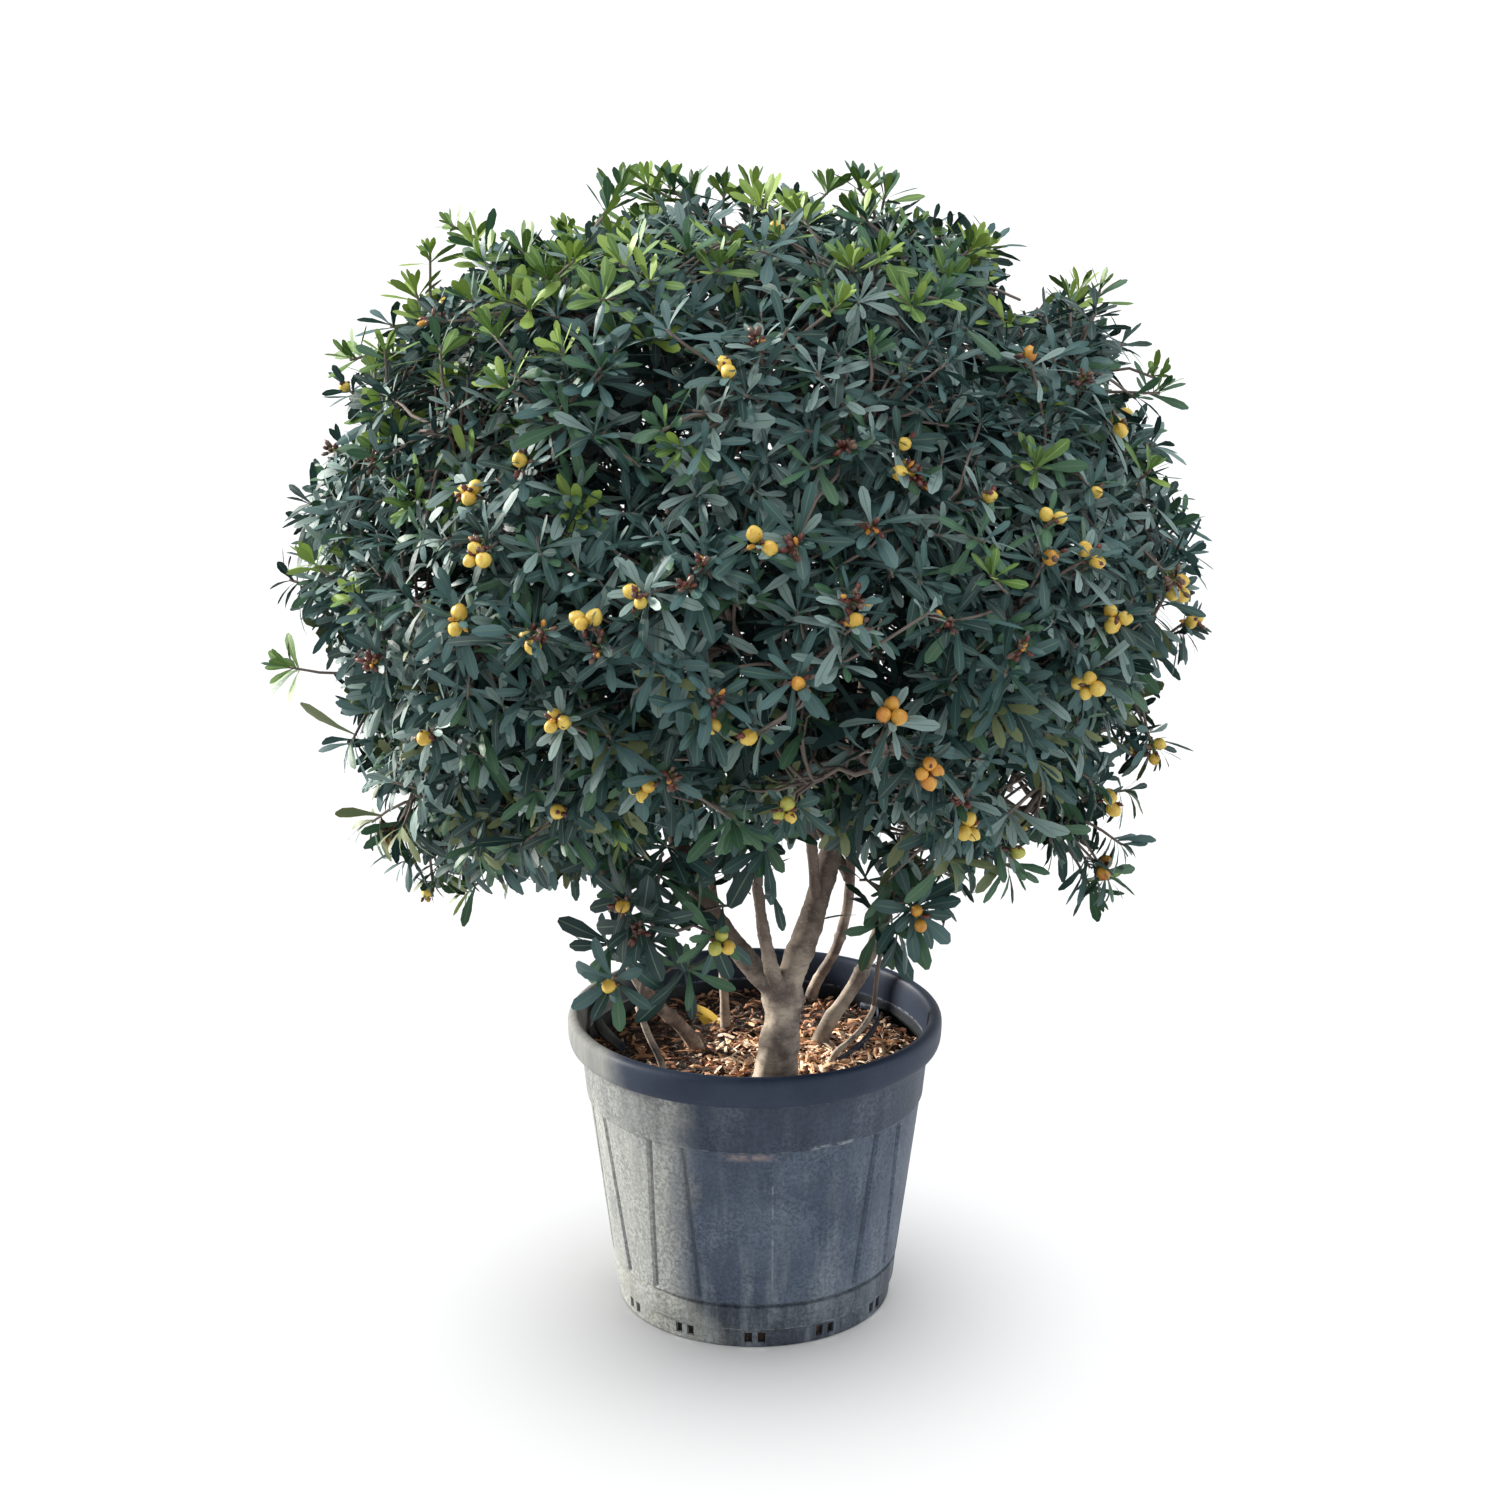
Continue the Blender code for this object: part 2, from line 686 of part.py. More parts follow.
class Space:
    """Where one mass may grow: in the crown's outline, nearer its middle than any other's, clear of the limbs."""

    MARGIN = 0.0015

    def __init__(self, mass, masses, limb_trees):
        self.mass = mass
        self.others = [other.centre for other in masses if other is not mass]
        self.trees = limb_trees + [other.stem_tree for other in masses if other is not mass]
        self.whorls = []

    def holds(self, points, stray=False):
        for point in points:
            away = point - self.mass.centre
            if self.mass.reach:
                if away.length > self.mass.reach:
                    return False
            elif not stray and outline_share(point) > 1.0:
                return False
            for other in self.others:
                between = other - self.mass.centre
                if away.dot(between.normalized()) > between.length / 2 - self.MARGIN:
                    return False
        return True

    def core_radius(self, direction):
        """Distance from the middle to the side of the mass's dense inside."""
        radius = CORE_RADIUS
        for other in self.others:
            between = other - self.mass.centre
            toward = direction.dot(between.normalized())
            if toward > 0:
                radius = min(radius, (between.length - CORE_CREVICE) / 2 / toward)
        while outline_share(self.mass.centre + direction * radius) > CORE_SHARE and radius > 0.03:
            radius -= 0.004
        return radius

    def clear(self, item, others=()):
        """Whether the object misses every limb and all the others. If it doesn't, it is removed."""
        tree = tree_of(item.data)
        if not any(tree.overlap(other) for other in [*self.trees, *others]):
            return True
        bpy.data.objects.remove(item)
        return False


def grow_whorl(mass, space, tip, along, heading, pieces, rng, stray):
    """A whorl of leaves round the end of a twig, the lower ones spread widest.

    A leaf that finds no room is turned a little, then shortened, then left out.
    """
    side = heading.orthogonal().normalized()
    start = rng.uniform(0, math.tau)
    leaves = []
    for i in range(LEAVES_IN_WHORL):
        spread = math.radians(86 - 38 * i / LEAVES_IN_WHORL + rng.uniform(-6, 6))
        full_length = LEAF_LENGTH * rng.uniform(0.86, 1.10) * (0.6 if stray else 1.0)
        base = tip - along * (0.003 + 0.0016 * (LEAVES_IN_WHORL - i))
        for share, turn in LEAF_TRIES:
            sideways = Matrix.Rotation(start + i * GOLDEN_ANGLE + turn, 3, heading) @ side
            direction = heading * math.cos(spread) + sideways * math.sin(spread)
            direction = (direction + Vector((0, 0, -0.12))).normalized()
            face = (heading - direction * heading.dot(direction)).normalized()
            points = leaf_points(base, direction, face, full_length * share)
            if not space.holds(points[1:], stray):
                continue
            leaf = leaf_object(f"{mass.name}_leaf", points, pieces)
            if space.clear(leaf, space.whorls):
                leaves.append(tree_of(leaf.data))
                break
    space.whorls += leaves


def grow_fruit(mass, space, tip, heading, pieces, rng):
    """Two capsules that hang under the end of a twig."""
    side = heading.orthogonal().normalized()
    for i in range(mass.fruit):
        sideways = Matrix.Rotation(rng.uniform(0, math.tau), 3, heading) @ side
        middle = tip + heading * (FRUIT_RADIUS * 0.4) + sideways * (FRUIT_RADIUS * 0.85 * i)
        middle += Vector((0, 0, -0.3 * FRUIT_RADIUS))
        space.clear(ball_object(f"{mass.name}_fruit", middle, lambda _: FRUIT_RADIUS, 1, pieces))


def grow_core(mass, space, pieces, rng):
    """The dense inside of a mass, as large as the limbs leave room for."""
    for share in (1.0, 0.85, 0.7, 0.55):
        core = ball_object(
            f"{mass.name}_core", mass.centre, lambda way: space.core_radius(way) * share * rng.uniform(0.9, 1.0),
            1, pieces,
        )
        if space.clear(core):
            break


def grow_mass(mass, masses, limb_trees, parts, materials, seed):
    """Grows twigs from the mass's stem, sets a whorl of leaves at each tip and joins it all to one solid."""
    rng = random.Random(seed)
    space = Space(mass, masses, limb_trees)
    pieces = new_collection(mass.name + "_pieces")
    start, end = mass.stem
    base = new_object(mass.name, mass.stem_mesh, parts)
    if not mass.reach:
        grow_core(mass, space, pieces, rng)
    for number, tip in enumerate(mass.tips + mass.strays):
        stray = number >= len(mass.tips)
        leave = start.lerp(end, 0.97 - 0.04 * number)
        if (tip - leave).length < 0.02:
            continue
        twig = cone_object(f"{mass.name}_twig", leave, tip, TWIG_RADIUS, TWIG_RADIUS * 0.9, 3, pieces)
        if not space.clear(twig):
            continue
        outward = (tip - (mass.centre if mass.reach else CROWN_MIDDLE)).normalized()
        along = (tip - leave).normalized()
        heading = (along * 0.4 + outward * 0.6).normalized()
        grow_whorl(mass, space, tip, along, heading, pieces, rng, stray)
        if mass.fruit and number == 0:
            grow_fruit(mass, space, tip, heading, pieces, rng)
    join = base.modifiers.new("join", "BOOLEAN")
    join.operation = "UNION"
    join.operand_type = "COLLECTION"
    join.collection = pieces
    join.solver = "EXACT"
    mesh = largest_body(evaluated_mesh(base))
    base.modifiers.clear()
    base.data = mesh
    mesh.materials.clear()
    mesh.materials.append(materials["foliage"])
    for item in list(pieces.objects):
        bpy.data.objects.remove(item)
    bpy.data.collections.remove(pieces)


def place_stems(masses, carriers, parts):
    """Gives each mass a straight stem that leaves its bough's tip for the middle of its space."""
    for name, limb in carriers.items():
        cutters = [limb.outgrown()]
        start = limb.tip - limb.heading * STEM_SINK
        for mass in [mass for mass in masses if mass.bough == name]:
            stem = cone_object("stem", start, mass.centre, STEM_RADIUS, STEM_RADIUS * 0.85, 3, parts)
            outgrown = cone_object("outgrown", start, mass.centre, STEM_RADIUS + 2 * GAP, STEM_RADIUS + 2 * GAP, 3, parts)
            mass.stem = (start, mass.centre)
            mass.stem_mesh = stem.data
            for cutter in cutters:
                mass.stem_mesh = without(mass.stem_mesh, cutter)
            mass.stem_tree = tree_of(outgrown.data)
            cutters.append(outgrown.data)
            bpy.data.objects.remove(stem)
            bpy.data.objects.remove(outgrown)


def main():
    clear_scene()
    materials = make_materials()
    parts = new_collection("potted_pittosporum")
    cutters = new_collection("cutters")
    build_pot(parts, cutters, materials)
    build_potting_mix(parts, materials)
    limbs = build_limbs()
    boughs = build_boughs(limbs)
    carriers = {**limbs, **boughs}
    for name, limb in carriers.items():
        new_object(name, limb.mesh, parts, materials["bark"])
    masses = plan_masses()
    place_stems(masses, carriers, parts)
    limb_trees = [tree_of(limb.mesh) for limb in carriers.values()]
    for seed, mass in enumerate(masses):
        grow_mass(mass, masses, limb_trees, parts, materials, seed)


main()
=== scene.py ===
"""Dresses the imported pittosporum: limbs with bark, twigs, leaves and capsules, the pot and its potting mix.

Metres, +Z up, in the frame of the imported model. The front of the plant faces -Y, as the camera sees it.
The limbs, the crown's outline and the masses of foliage follow the source's rule, with finer twigs added.
"""

import json
import math
import random
from collections import namedtuple

import bmesh
import bpy
import numpy as np
from mathutils import Matrix, Vector, noise

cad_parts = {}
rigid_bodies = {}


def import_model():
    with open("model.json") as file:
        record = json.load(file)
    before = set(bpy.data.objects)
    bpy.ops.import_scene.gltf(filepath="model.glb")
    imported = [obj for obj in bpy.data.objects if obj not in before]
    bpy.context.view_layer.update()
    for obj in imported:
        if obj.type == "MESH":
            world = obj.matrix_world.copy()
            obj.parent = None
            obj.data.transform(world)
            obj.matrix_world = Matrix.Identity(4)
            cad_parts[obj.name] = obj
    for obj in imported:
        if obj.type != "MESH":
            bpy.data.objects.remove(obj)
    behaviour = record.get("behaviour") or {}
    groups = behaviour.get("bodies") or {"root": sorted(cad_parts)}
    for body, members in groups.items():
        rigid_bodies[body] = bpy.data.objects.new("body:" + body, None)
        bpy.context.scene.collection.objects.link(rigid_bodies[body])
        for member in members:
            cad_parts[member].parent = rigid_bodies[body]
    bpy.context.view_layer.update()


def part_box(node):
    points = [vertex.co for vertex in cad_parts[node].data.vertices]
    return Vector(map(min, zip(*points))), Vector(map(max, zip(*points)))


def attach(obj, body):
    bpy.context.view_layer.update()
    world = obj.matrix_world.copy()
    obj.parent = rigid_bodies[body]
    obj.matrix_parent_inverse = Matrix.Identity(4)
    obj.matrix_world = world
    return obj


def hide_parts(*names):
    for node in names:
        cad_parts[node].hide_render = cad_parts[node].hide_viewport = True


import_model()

# The camera, fitted to the photo's ellipses of rim, step and foot
PHOTO_SIDE = 1500.0  # pixels
FOCAL_PIXELS = 2648.0
SENSOR_WIDTH = 36.0
CAMERA_PLACE = Vector((-0.0051, -2.667, 1.344))
CAMERA_PITCH = math.radians(15.37)

# The pot, as in the source
POT_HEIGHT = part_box("pot")[1].z
RIM_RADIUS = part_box("pot")[1].x
BASE_RADIUS = 0.1485
WALL = 0.0045
RIM_DEPTH = 0.034
COLLAR_STEP = 0.013  # the rim stands this far out from the collar
COLLAR_BOTTOM = 0.234
PANEL_BOTTOM = 0.0535
FOOT_HEIGHT = 0.022
PANELS = 3
PANEL_MIDDLE = 280.0
GROOVE_OFFSETS = ((35.0, 32.0), (47.5, 52.0))  # degrees from a panel's middle, above and below
GROOVE_HALF_WIDTH = 0.0042
GROOVE_DEPTH = 0.0030
DRAIN_PAIRS = 12
DRAIN_FIRST = 270.0
DRAIN_SIZE = (0.03, 0.008, 0.012)
DRAIN_SPACING = 0.007

SOIL_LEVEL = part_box("potting_mix")[1].z
CHIPS = 2000
CHIPS_REACH = 0.176
WALL_GAP = 0.005  # between the pot's inner wall and the middle line of whatever lies against it

# The crown's outline, as in the source
CROWN_MIDDLE = Vector((-0.010, 0.0, 0.800))
CROWN_REACH = 0.482
CROWN_RISE = 0.402
CROWN_DROP = 0.378
CROWN_ROUND_ABOVE = 2.3
CROWN_ROUND_BELOW = 3.0
CROWN_OPEN_BELOW = -0.92
WAISTS = ((0.965, 0.050, 0.080), (0.640, 0.110, 0.100))  # each dip's height, half width and depth
FRONT_LIFT = 0.155
STRAY_TIPS = (
    (-0.475, -0.050, 0.712), (-0.275, -0.030, 1.130), (-0.140, -0.030, 1.170), (0.400, -0.050, 0.990),
    (0.425, 0.020, 0.850), (-0.300, -0.050, 0.475), (0.350, -0.050, 0.475),
)
SOURCE_WHORLS = 88
SOURCE_LEAF = 0.104
GOLDEN_ANGLE = math.radians(137.5)

# Real leaves, and the finer twigs that carry them
LEAF_LENGTH = 0.052
LEAF_WIDTH = 0.0116
LEAF_ROWS = ((0.0, 0.14), (0.30, 0.42), (0.62, 0.95), (0.86, 0.88), (1.0, 0.26))  # share of length and width
LEAF_COLUMNS = (-1.0, -0.08, 0.08, 1.0)  # the two in the middle hold the midrib
INNER_ROWS = ((0.0, 0.14), (0.40, 0.70), (0.76, 1.0), (1.0, 0.30))
INNER_COLUMNS = (-1.0, 1.0)
OUTER_WHORLS = 2250
INNER_WHORLS = 600
TIP_SPACING = 0.022
CAPSULE_RADIUS = 0.0072
STALK_RADIUS = 0.0009
TWIG_STEPS = 5
TWIG_REFERENCE = (0.31, 0.95, 0.05)  # a direction that few twigs run in

# Pixels of the photo where a twig ends in yellow capsules, each with the number of capsules
CAPSULE_PIXELS = (
    (347, 388, 1), (522, 467, 1), (473, 495, 3), (485, 553, 3), (459, 620, 2), (525, 642, 2),
    (590, 627, 3), (642, 597, 2), (559, 721, 3), (432, 733, 1), (396, 828, 2), (433, 885, 1),
    (560, 808, 1), (645, 783, 4), (796, 680, 1), (757, 733, 1), (705, 725, 1), (890, 717, 3),
    (789, 808, 3), (923, 765, 4), (960, 825, 4), (1007, 848, 1), (1095, 862, 2), (1100, 795, 3),
    (1150, 740, 2), (1125, 737, 1), (1090, 677, 4), (1115, 617, 3), (1185, 622, 2), (1170, 580, 3),
    (1085, 560, 2), (1047, 557, 1), (1048, 520, 2), (985, 497, 1), (1093, 492, 1), (900, 445, 1),
    (897, 470, 2), (1030, 360, 1), (1113, 427, 2), (727, 372, 2), (757, 545, 2), (852, 628, 1),
    (780, 232, 1),
)
# Pixels where a twig ends in open, red capsules
SEED_PIXELS = (
    (872, 528), (705, 565), (795, 545), (380, 462), (378, 660), (1078, 383), (845, 450), (612, 850),
    (603, 650), (712, 700), (850, 602), (948, 622), (1020, 650), (760, 345), (915, 480), (690, 588),
    (486, 540), (1165, 572), (398, 825), (668, 775), (540, 632), (960, 800), (440, 322),
)
# Pixels where a young, yellow-green spray stands out
YOUNG_PIXELS = (
    (870, 345), (1035, 468), (990, 575), (660, 432), (1160, 380), (450, 225), (480, 262), (415, 290),
    (520, 250), (600, 300), (500, 300), (725, 190), (775, 235), (830, 190), (850, 265), (915, 310),
    (560, 345), (500, 385), (690, 250), (630, 240), (880, 255), (975, 245), (760, 205), (800, 215),
    (1070, 300), (350, 360), (310, 560), (430, 250), (545, 275), (575, 260), (465, 300), (440, 345),
    (1150, 470), (1080, 290), (470, 240), (490, 330), (385, 350), (530, 310), (620, 265), (650, 280),
    (735, 240), (860, 215), (940, 300), (1020, 300),
)
# Pixels where a tuft stands up from the crown's top
TUFT_PIXELS = (
    (622, 190), (645, 184), (668, 186), (690, 194), (655, 200), (755, 192), (858, 188), (885, 194),
    (1100, 290),
)
# Pixels where leaves hang below the crown's edge
HANGING_PIXELS = (
    (465, 868), (440, 872), (480, 850), (402, 830), (372, 822), (520, 845), (562, 838), (350, 745),
    (1012, 868), (1090, 868), (1108, 880), (1122, 845), (915, 895), (884, 885), (950, 862), (645, 862),
    (1188, 628), (1130, 790), (1155, 750), (410, 860), (500, 862), (700, 835), (740, 825),
)
# Each table with its tips' depth inside the outline, their kind and capsules; -1 means open ones alone
PLACED_TIPS = (
    (CAPSULE_PIXELS, 0.034, "leaves", 0),
    (SEED_PIXELS, 0.034, "leaves", -1),
    (YOUNG_PIXELS, 0.030, "young", 0),
    (TUFT_PIXELS, 0.034, "stray", 0),
    (HANGING_PIXELS, 0.020, "hanging", 0),
)
# Pixels where the twigs of a shoot below the crown end, each with the number of capsules
SHOOT_PIXELS = {
    "low_left": (
        (719, 936, 3), (631, 902, 1), (612, 982, 1), (655, 875, 0), (690, 885, 0), (672, 915, 0),
        (655, 945, 0), (690, 970, 0), (607, 945, 0), (735, 905, 0), (640, 925, -1), (705, 850, 0),
        (665, 845, 0), (628, 865, 0),
    ),
    "low_right": (
        (915, 912, 2), (872, 905, 0), (893, 885, 0), (935, 893, 0), (950, 870, 0), (905, 935, 0),
        (878, 925, 0), (925, 860, 0), (860, 880, 0),
    ),
    "low_centre": (
        (765, 850, 0), (738, 868, 0), (775, 895, 0), (760, 830, 0), (790, 830, 0), (735, 835, 0),
    ),
}
# Pixels where the crown opens between its boughs, each with the hollow's radius
HOLLOW_PIXELS = (
    (850, 748, 0.120), (800, 828, 0.115), (715, 822, 0.085), (1010, 800, 0.055), (745, 650, 0.060),
    (1000, 895, 0.070), (1045, 800, 0.035), (600, 900, 0.060), (540, 905, 0.045), (1165, 690, 0.040),
    (672, 392, 0.050), (470, 690, 0.050), (893, 590, 0.045), (610, 700, 0.045), (900, 455, 0.030),
)
HOLLOWS_UNSEEN = 26
# Pixels where sky shows right through the crown, each with the gap's radius
SKY_PIXELS = (
    (806, 860, 0.016), (808, 893, 0.017), (752, 900, 0.014), (750, 930, 0.014), (831, 925, 0.012),
    (1025, 798, 0.017), (664, 852, 0.010), (1026, 854, 0.007), (1040, 854, 0.007), (396, 799, 0.008),
    (859, 912, 0.006), (1112, 747, 0.008), (866, 879, 0.006), (910, 833, 0.007), (821, 784, 0.006),
    (388, 817, 0.006), (1054, 811, 0.007), (779, 774, 0.006), (711, 808, 0.006), (345, 734, 0.008),
    (1171, 611, 0.008), (923, 855, 0.006), (1048, 654, 0.006), (887, 829, 0.006), (942, 879, 0.007),
    (660, 892, 0.006), (1023, 287, 0.019), (1126, 376, 0.010), (420, 583, 0.006), (732, 219, 0.007),
    (580, 209, 0.007), (363, 669, 0.006),
)
# Pixels along what lies in the pot
FRAGMENT_PIXELS = ((872, 996), (880, 1012), (876, 1034), (860, 1052), (838, 1064))
STRIP_PIXELS = ((590, 996), (592, 1010), (598, 1024), (609, 1037), (624, 1048))
FALLEN_LEAF_PIXELS = ((692, 1010), (732, 1036))

# Plain colours, dealt out by spray
LEAF_TONES = {
    "leaf_dark": (0.014, 0.038, 0.035),
    "leaf_deep": (0.027, 0.070, 0.064),
    "leaf_blue": (0.050, 0.108, 0.108),
    # leaf_grey is a paler, greyer copy of the leaf green: a painted sheen, dealt out to many leaves in place
    # of their highlights
    "leaf_grey": (0.165, 0.238, 0.222),
    "leaf_mid": (0.042, 0.108, 0.054),
    "leaf_olive": (0.135, 0.160, 0.066),
    "leaf_fresh": (0.095, 0.180, 0.042),
    "leaf_young": (0.205, 0.305, 0.055),
}
MIDRIB_TONES = {"midrib": (0.085, 0.140, 0.095), "midrib_young": (0.230, 0.320, 0.090)}
TONE_NAMES = [*LEAF_TONES, *MIDRIB_TONES]
YOUNG_TONES = ("leaf_fresh", "leaf_young")
TWIG_TONES = {"twig": (0.150, 0.118, 0.100), "stalk": (0.130, 0.170, 0.060)}
CHIP_TONES = {
    "chip_pale": (0.860, 0.650, 0.480),
    "chip_tan": (0.790, 0.460, 0.260),
    "chip_brown": (0.420, 0.200, 0.105),
    "chip_dark": (0.070, 0.042, 0.034),
}
# The tones of each kind of leafy twig, by weight
TONE_CHOICES = {
    "leaves": {"dark": 4, "deep": 5, "blue": 5, "grey": 6, "mid": 3},
    # The olive share of the low leaves is partly their own tone and partly painted sunlight on the crown's
    # lower part
    "low": {"dark": 3, "deep": 4, "blue": 3, "grey": 4, "mid": 4, "olive": 6},
    "stray": {"fresh": 4, "mid": 4, "young": 1},
    "hanging": {"dark": 3, "deep": 4, "blue": 3, "mid": 4, "olive": 2},
    "shoot": {"dark": 3, "deep": 4, "mid": 5, "blue": 1},
    # The inner leaves are dealt the darkest tones as painted shade inside the crown
    "inner": {"dark": 8, "deep": 2},
    "young": {"fresh": 5, "young": 4, "mid": 2},
}
LEAF_SCALES = {"young": 0.77, "stray": 0.85, "inner": 1.45, "hanging": 1.05, "shoot": 1.22}
LEAF_BREADTHS = {"young": 1.22, "stray": 1.12, "shoot": 1.22}
CAPSULE_TONES = {  # its colour and its blush
    "capsule_yellow": ((0.660, 0.470, 0.085), (0.570, 0.330, 0.040)),
    "capsule_orange": ((0.560, 0.280, 0.035), (0.460, 0.160, 0.020)),
    "capsule_lime": ((0.440, 0.420, 0.080), (0.320, 0.340, 0.060)),
    "seed_red": ((0.120, 0.026, 0.018), (0.050, 0.014, 0.012)),
    "husk": ((0.130, 0.075, 0.050), (0.060, 0.032, 0.024)),
}
# How far each pot material is blended towards near-black: painted shade in the grooves' recesses and on the
# pot's inner wall and floor
POT_PAINTED_SHADE = {"pot_plastic": 0.0, "pot_groove": 0.38, "pot_inside": 0.85}


def clear_startup():
    for item in list(bpy.data.objects):
        if item.name in ("Cube", "Camera", "Light"):
            bpy.data.objects.remove(item)


# Materials

class Patterns:
    """A tree's nodes, built one call at a time."""

    def __init__(self, tree, coordinates):
        self.tree = tree
        self.place = self.node("TexCoord", {})[coordinates]

    def put(self, socket, value):
        """Links a node's output to a socket, or sets the socket to a number or a colour."""
        if isinstance(value, bpy.types.NodeSocket):
            self.tree.links.new(value, socket)
        else:
            socket.default_value = (*value, 1.0) if socket.type == "RGBA" else value

    def node(self, kind, inputs, **settings):
        """A new node with its settings made and its inputs put in; gives its outputs."""
        node = self.tree.nodes.new("ShaderNode" + kind)
        for setting, value in settings.items():
            setattr(node, setting, value)
        for socket, value in inputs.items():
            self.put(node.inputs[socket], value)
        return node.outputs

    def math(self, operation, first, second):
        return self.node("Math", {0: first, 1: second}, operation=operation)[0]

    def plus(self, first, second):
        return self.math("ADD", first, second)

    def times(self, product, *factors):
        for factor in factors:
            product = self.math("MULTIPLY", product, factor)
        return product

    def noise(self, scale, detail=3.0, rough=0.55, stretch=None):
        place = self.node("Mapping", {"Vector": self.place, "Scale": stretch})[0] if stretch else self.place
        inputs = {"Vector": place, "Scale": scale, "Detail": detail, "Roughness": rough}
        return self.node("TexNoise", inputs)["Fac"]

    def cells(self, scale):
        return self.node("TexVoronoi", {"Vector": self.place, "Scale": scale})["Distance"]

    def axes(self):
        return self.node("SeparateXYZ", {0: self.place})

    def ramp(self, value, low, high, first=0.0, last=1.0):
        """value from low to high becomes first to last, smoothly."""
        inputs = dict(enumerate((value, low, high, first, last)))
        return self.node("MapRange", inputs, interpolation_type="SMOOTHSTEP")[0]

    def band(self, value, low, high, soft):
        """1 between low and high and 0 beyond, with soft edges."""
        rise = self.ramp(value, low - soft, low + soft)
        return self.times(rise, self.ramp(value, high - soft, high + soft, 1.0, 0.0))

    def blend(self, share, first, second, way="MIX"):
        """The first colour with the second mixed or multiplied in by its share."""
        return self.node("Mix", {0: share, 6: first, 7: second}, data_type="RGBA", blend_type=way)[2]


materials = {}  # each recipe's material by its name here, because the frame has materials of the same names


class Recipe(Patterns):
    """A material's nodes. Its patterns lie in the frame's own coordinates."""

    def __init__(self, name, colour, roughness, shine=0.5):
        material = bpy.data.materials.new(name)
        material.use_nodes = True
        material.diffuse_color = (*colour, 1.0)
        materials[name] = material
        super().__init__(material.node_tree, "Object")
        self.inputs = self.tree.nodes["Principled BSDF"].inputs
        self.inputs["Base Color"].default_value = (*colour, 1.0)
        self.inputs["Roughness"].default_value = roughness
        self.inputs["Specular IOR Level"].default_value = shine

    def colour(self, value):
        self.put(self.inputs["Base Color"], value)

    def roughness(self, value):
        self.put(self.inputs["Roughness"], value)

    def bump(self, height, strength, distance):
        inputs = {"Strength": strength, "Distance": distance, "Height": height}
        self.put(self.inputs["Normal"], self.node("Bump", inputs)[0])


# A relief's noise, strength and depth, and then the shine
LEAF_SKIN = ((260.0, 2.0), 0.25, 0.0012, 0.35)
TWIG_SKIN = ((300.0, 3.0), 0.5, 0.0008)
CHIP_SKIN = ((350.0, 3.0, 0.6), 0.5, 0.0008)


def plain_materials(tones, roughness, skin):
    """A material of one plain colour for each tone."""
    grain, strength, depth, *shine = skin
    for name, colour in tones.items():
        recipe = Recipe(name, colour, roughness, *shine)
        recipe.bump(recipe.noise(*grain), strength, depth)


def bark_material():
    """Pale grey-cream skin low down, darker and browner in the crown, with fine rings and small warts."""
    recipe = Recipe("bark", (0.30, 0.25, 0.20), 0.85)
    ramp, blend = recipe.ramp, recipe.blend
    patches = recipe.noise(28.0, 4.0, 0.6)
    rings = recipe.noise(9.0, 4.0, 0.65, stretch=(6.0, 6.0, 34.0))
    grain = recipe.noise(420.0, 3.0)
    skin = blend(ramp(patches, 0.38, 0.66), (0.125, 0.094, 0.080), (0.430, 0.360, 0.285))
    upper = blend(ramp(patches, 0.35, 0.65), (0.078, 0.054, 0.042), (0.160, 0.120, 0.096))
    colour = blend(ramp(recipe.axes()[2], 0.36, 0.47), skin, upper)
    colour = blend(ramp(rings, 0.52, 0.72, 0.0, 0.55), colour, (0.090, 0.068, 0.055))
    recipe.colour(blend(ramp(grain, 0.58, 0.75, 0.0, 0.35), colour, (0.560, 0.510, 0.430)))
    recipe.roughness(ramp(patches, 0.3, 0.7, 0.78, 0.95))
    recipe.bump(recipe.plus(rings, recipe.times(grain, 0.35)), 0.55, 0.0016)


def capsule_material(name, colour, blush):
    recipe = Recipe(name, colour, 0.45)
    tint = recipe.blend(recipe.ramp(recipe.noise(70.0, 3.0), 0.40, 0.68), colour, blush)
    speck = recipe.ramp(recipe.noise(520.0, 2.0), 0.62, 0.72, 0.0, 0.7)
    recipe.colour(recipe.blend(speck, tint, (0.200, 0.095, 0.020)))
    recipe.bump(recipe.cells(260.0), 0.3, 0.0006)


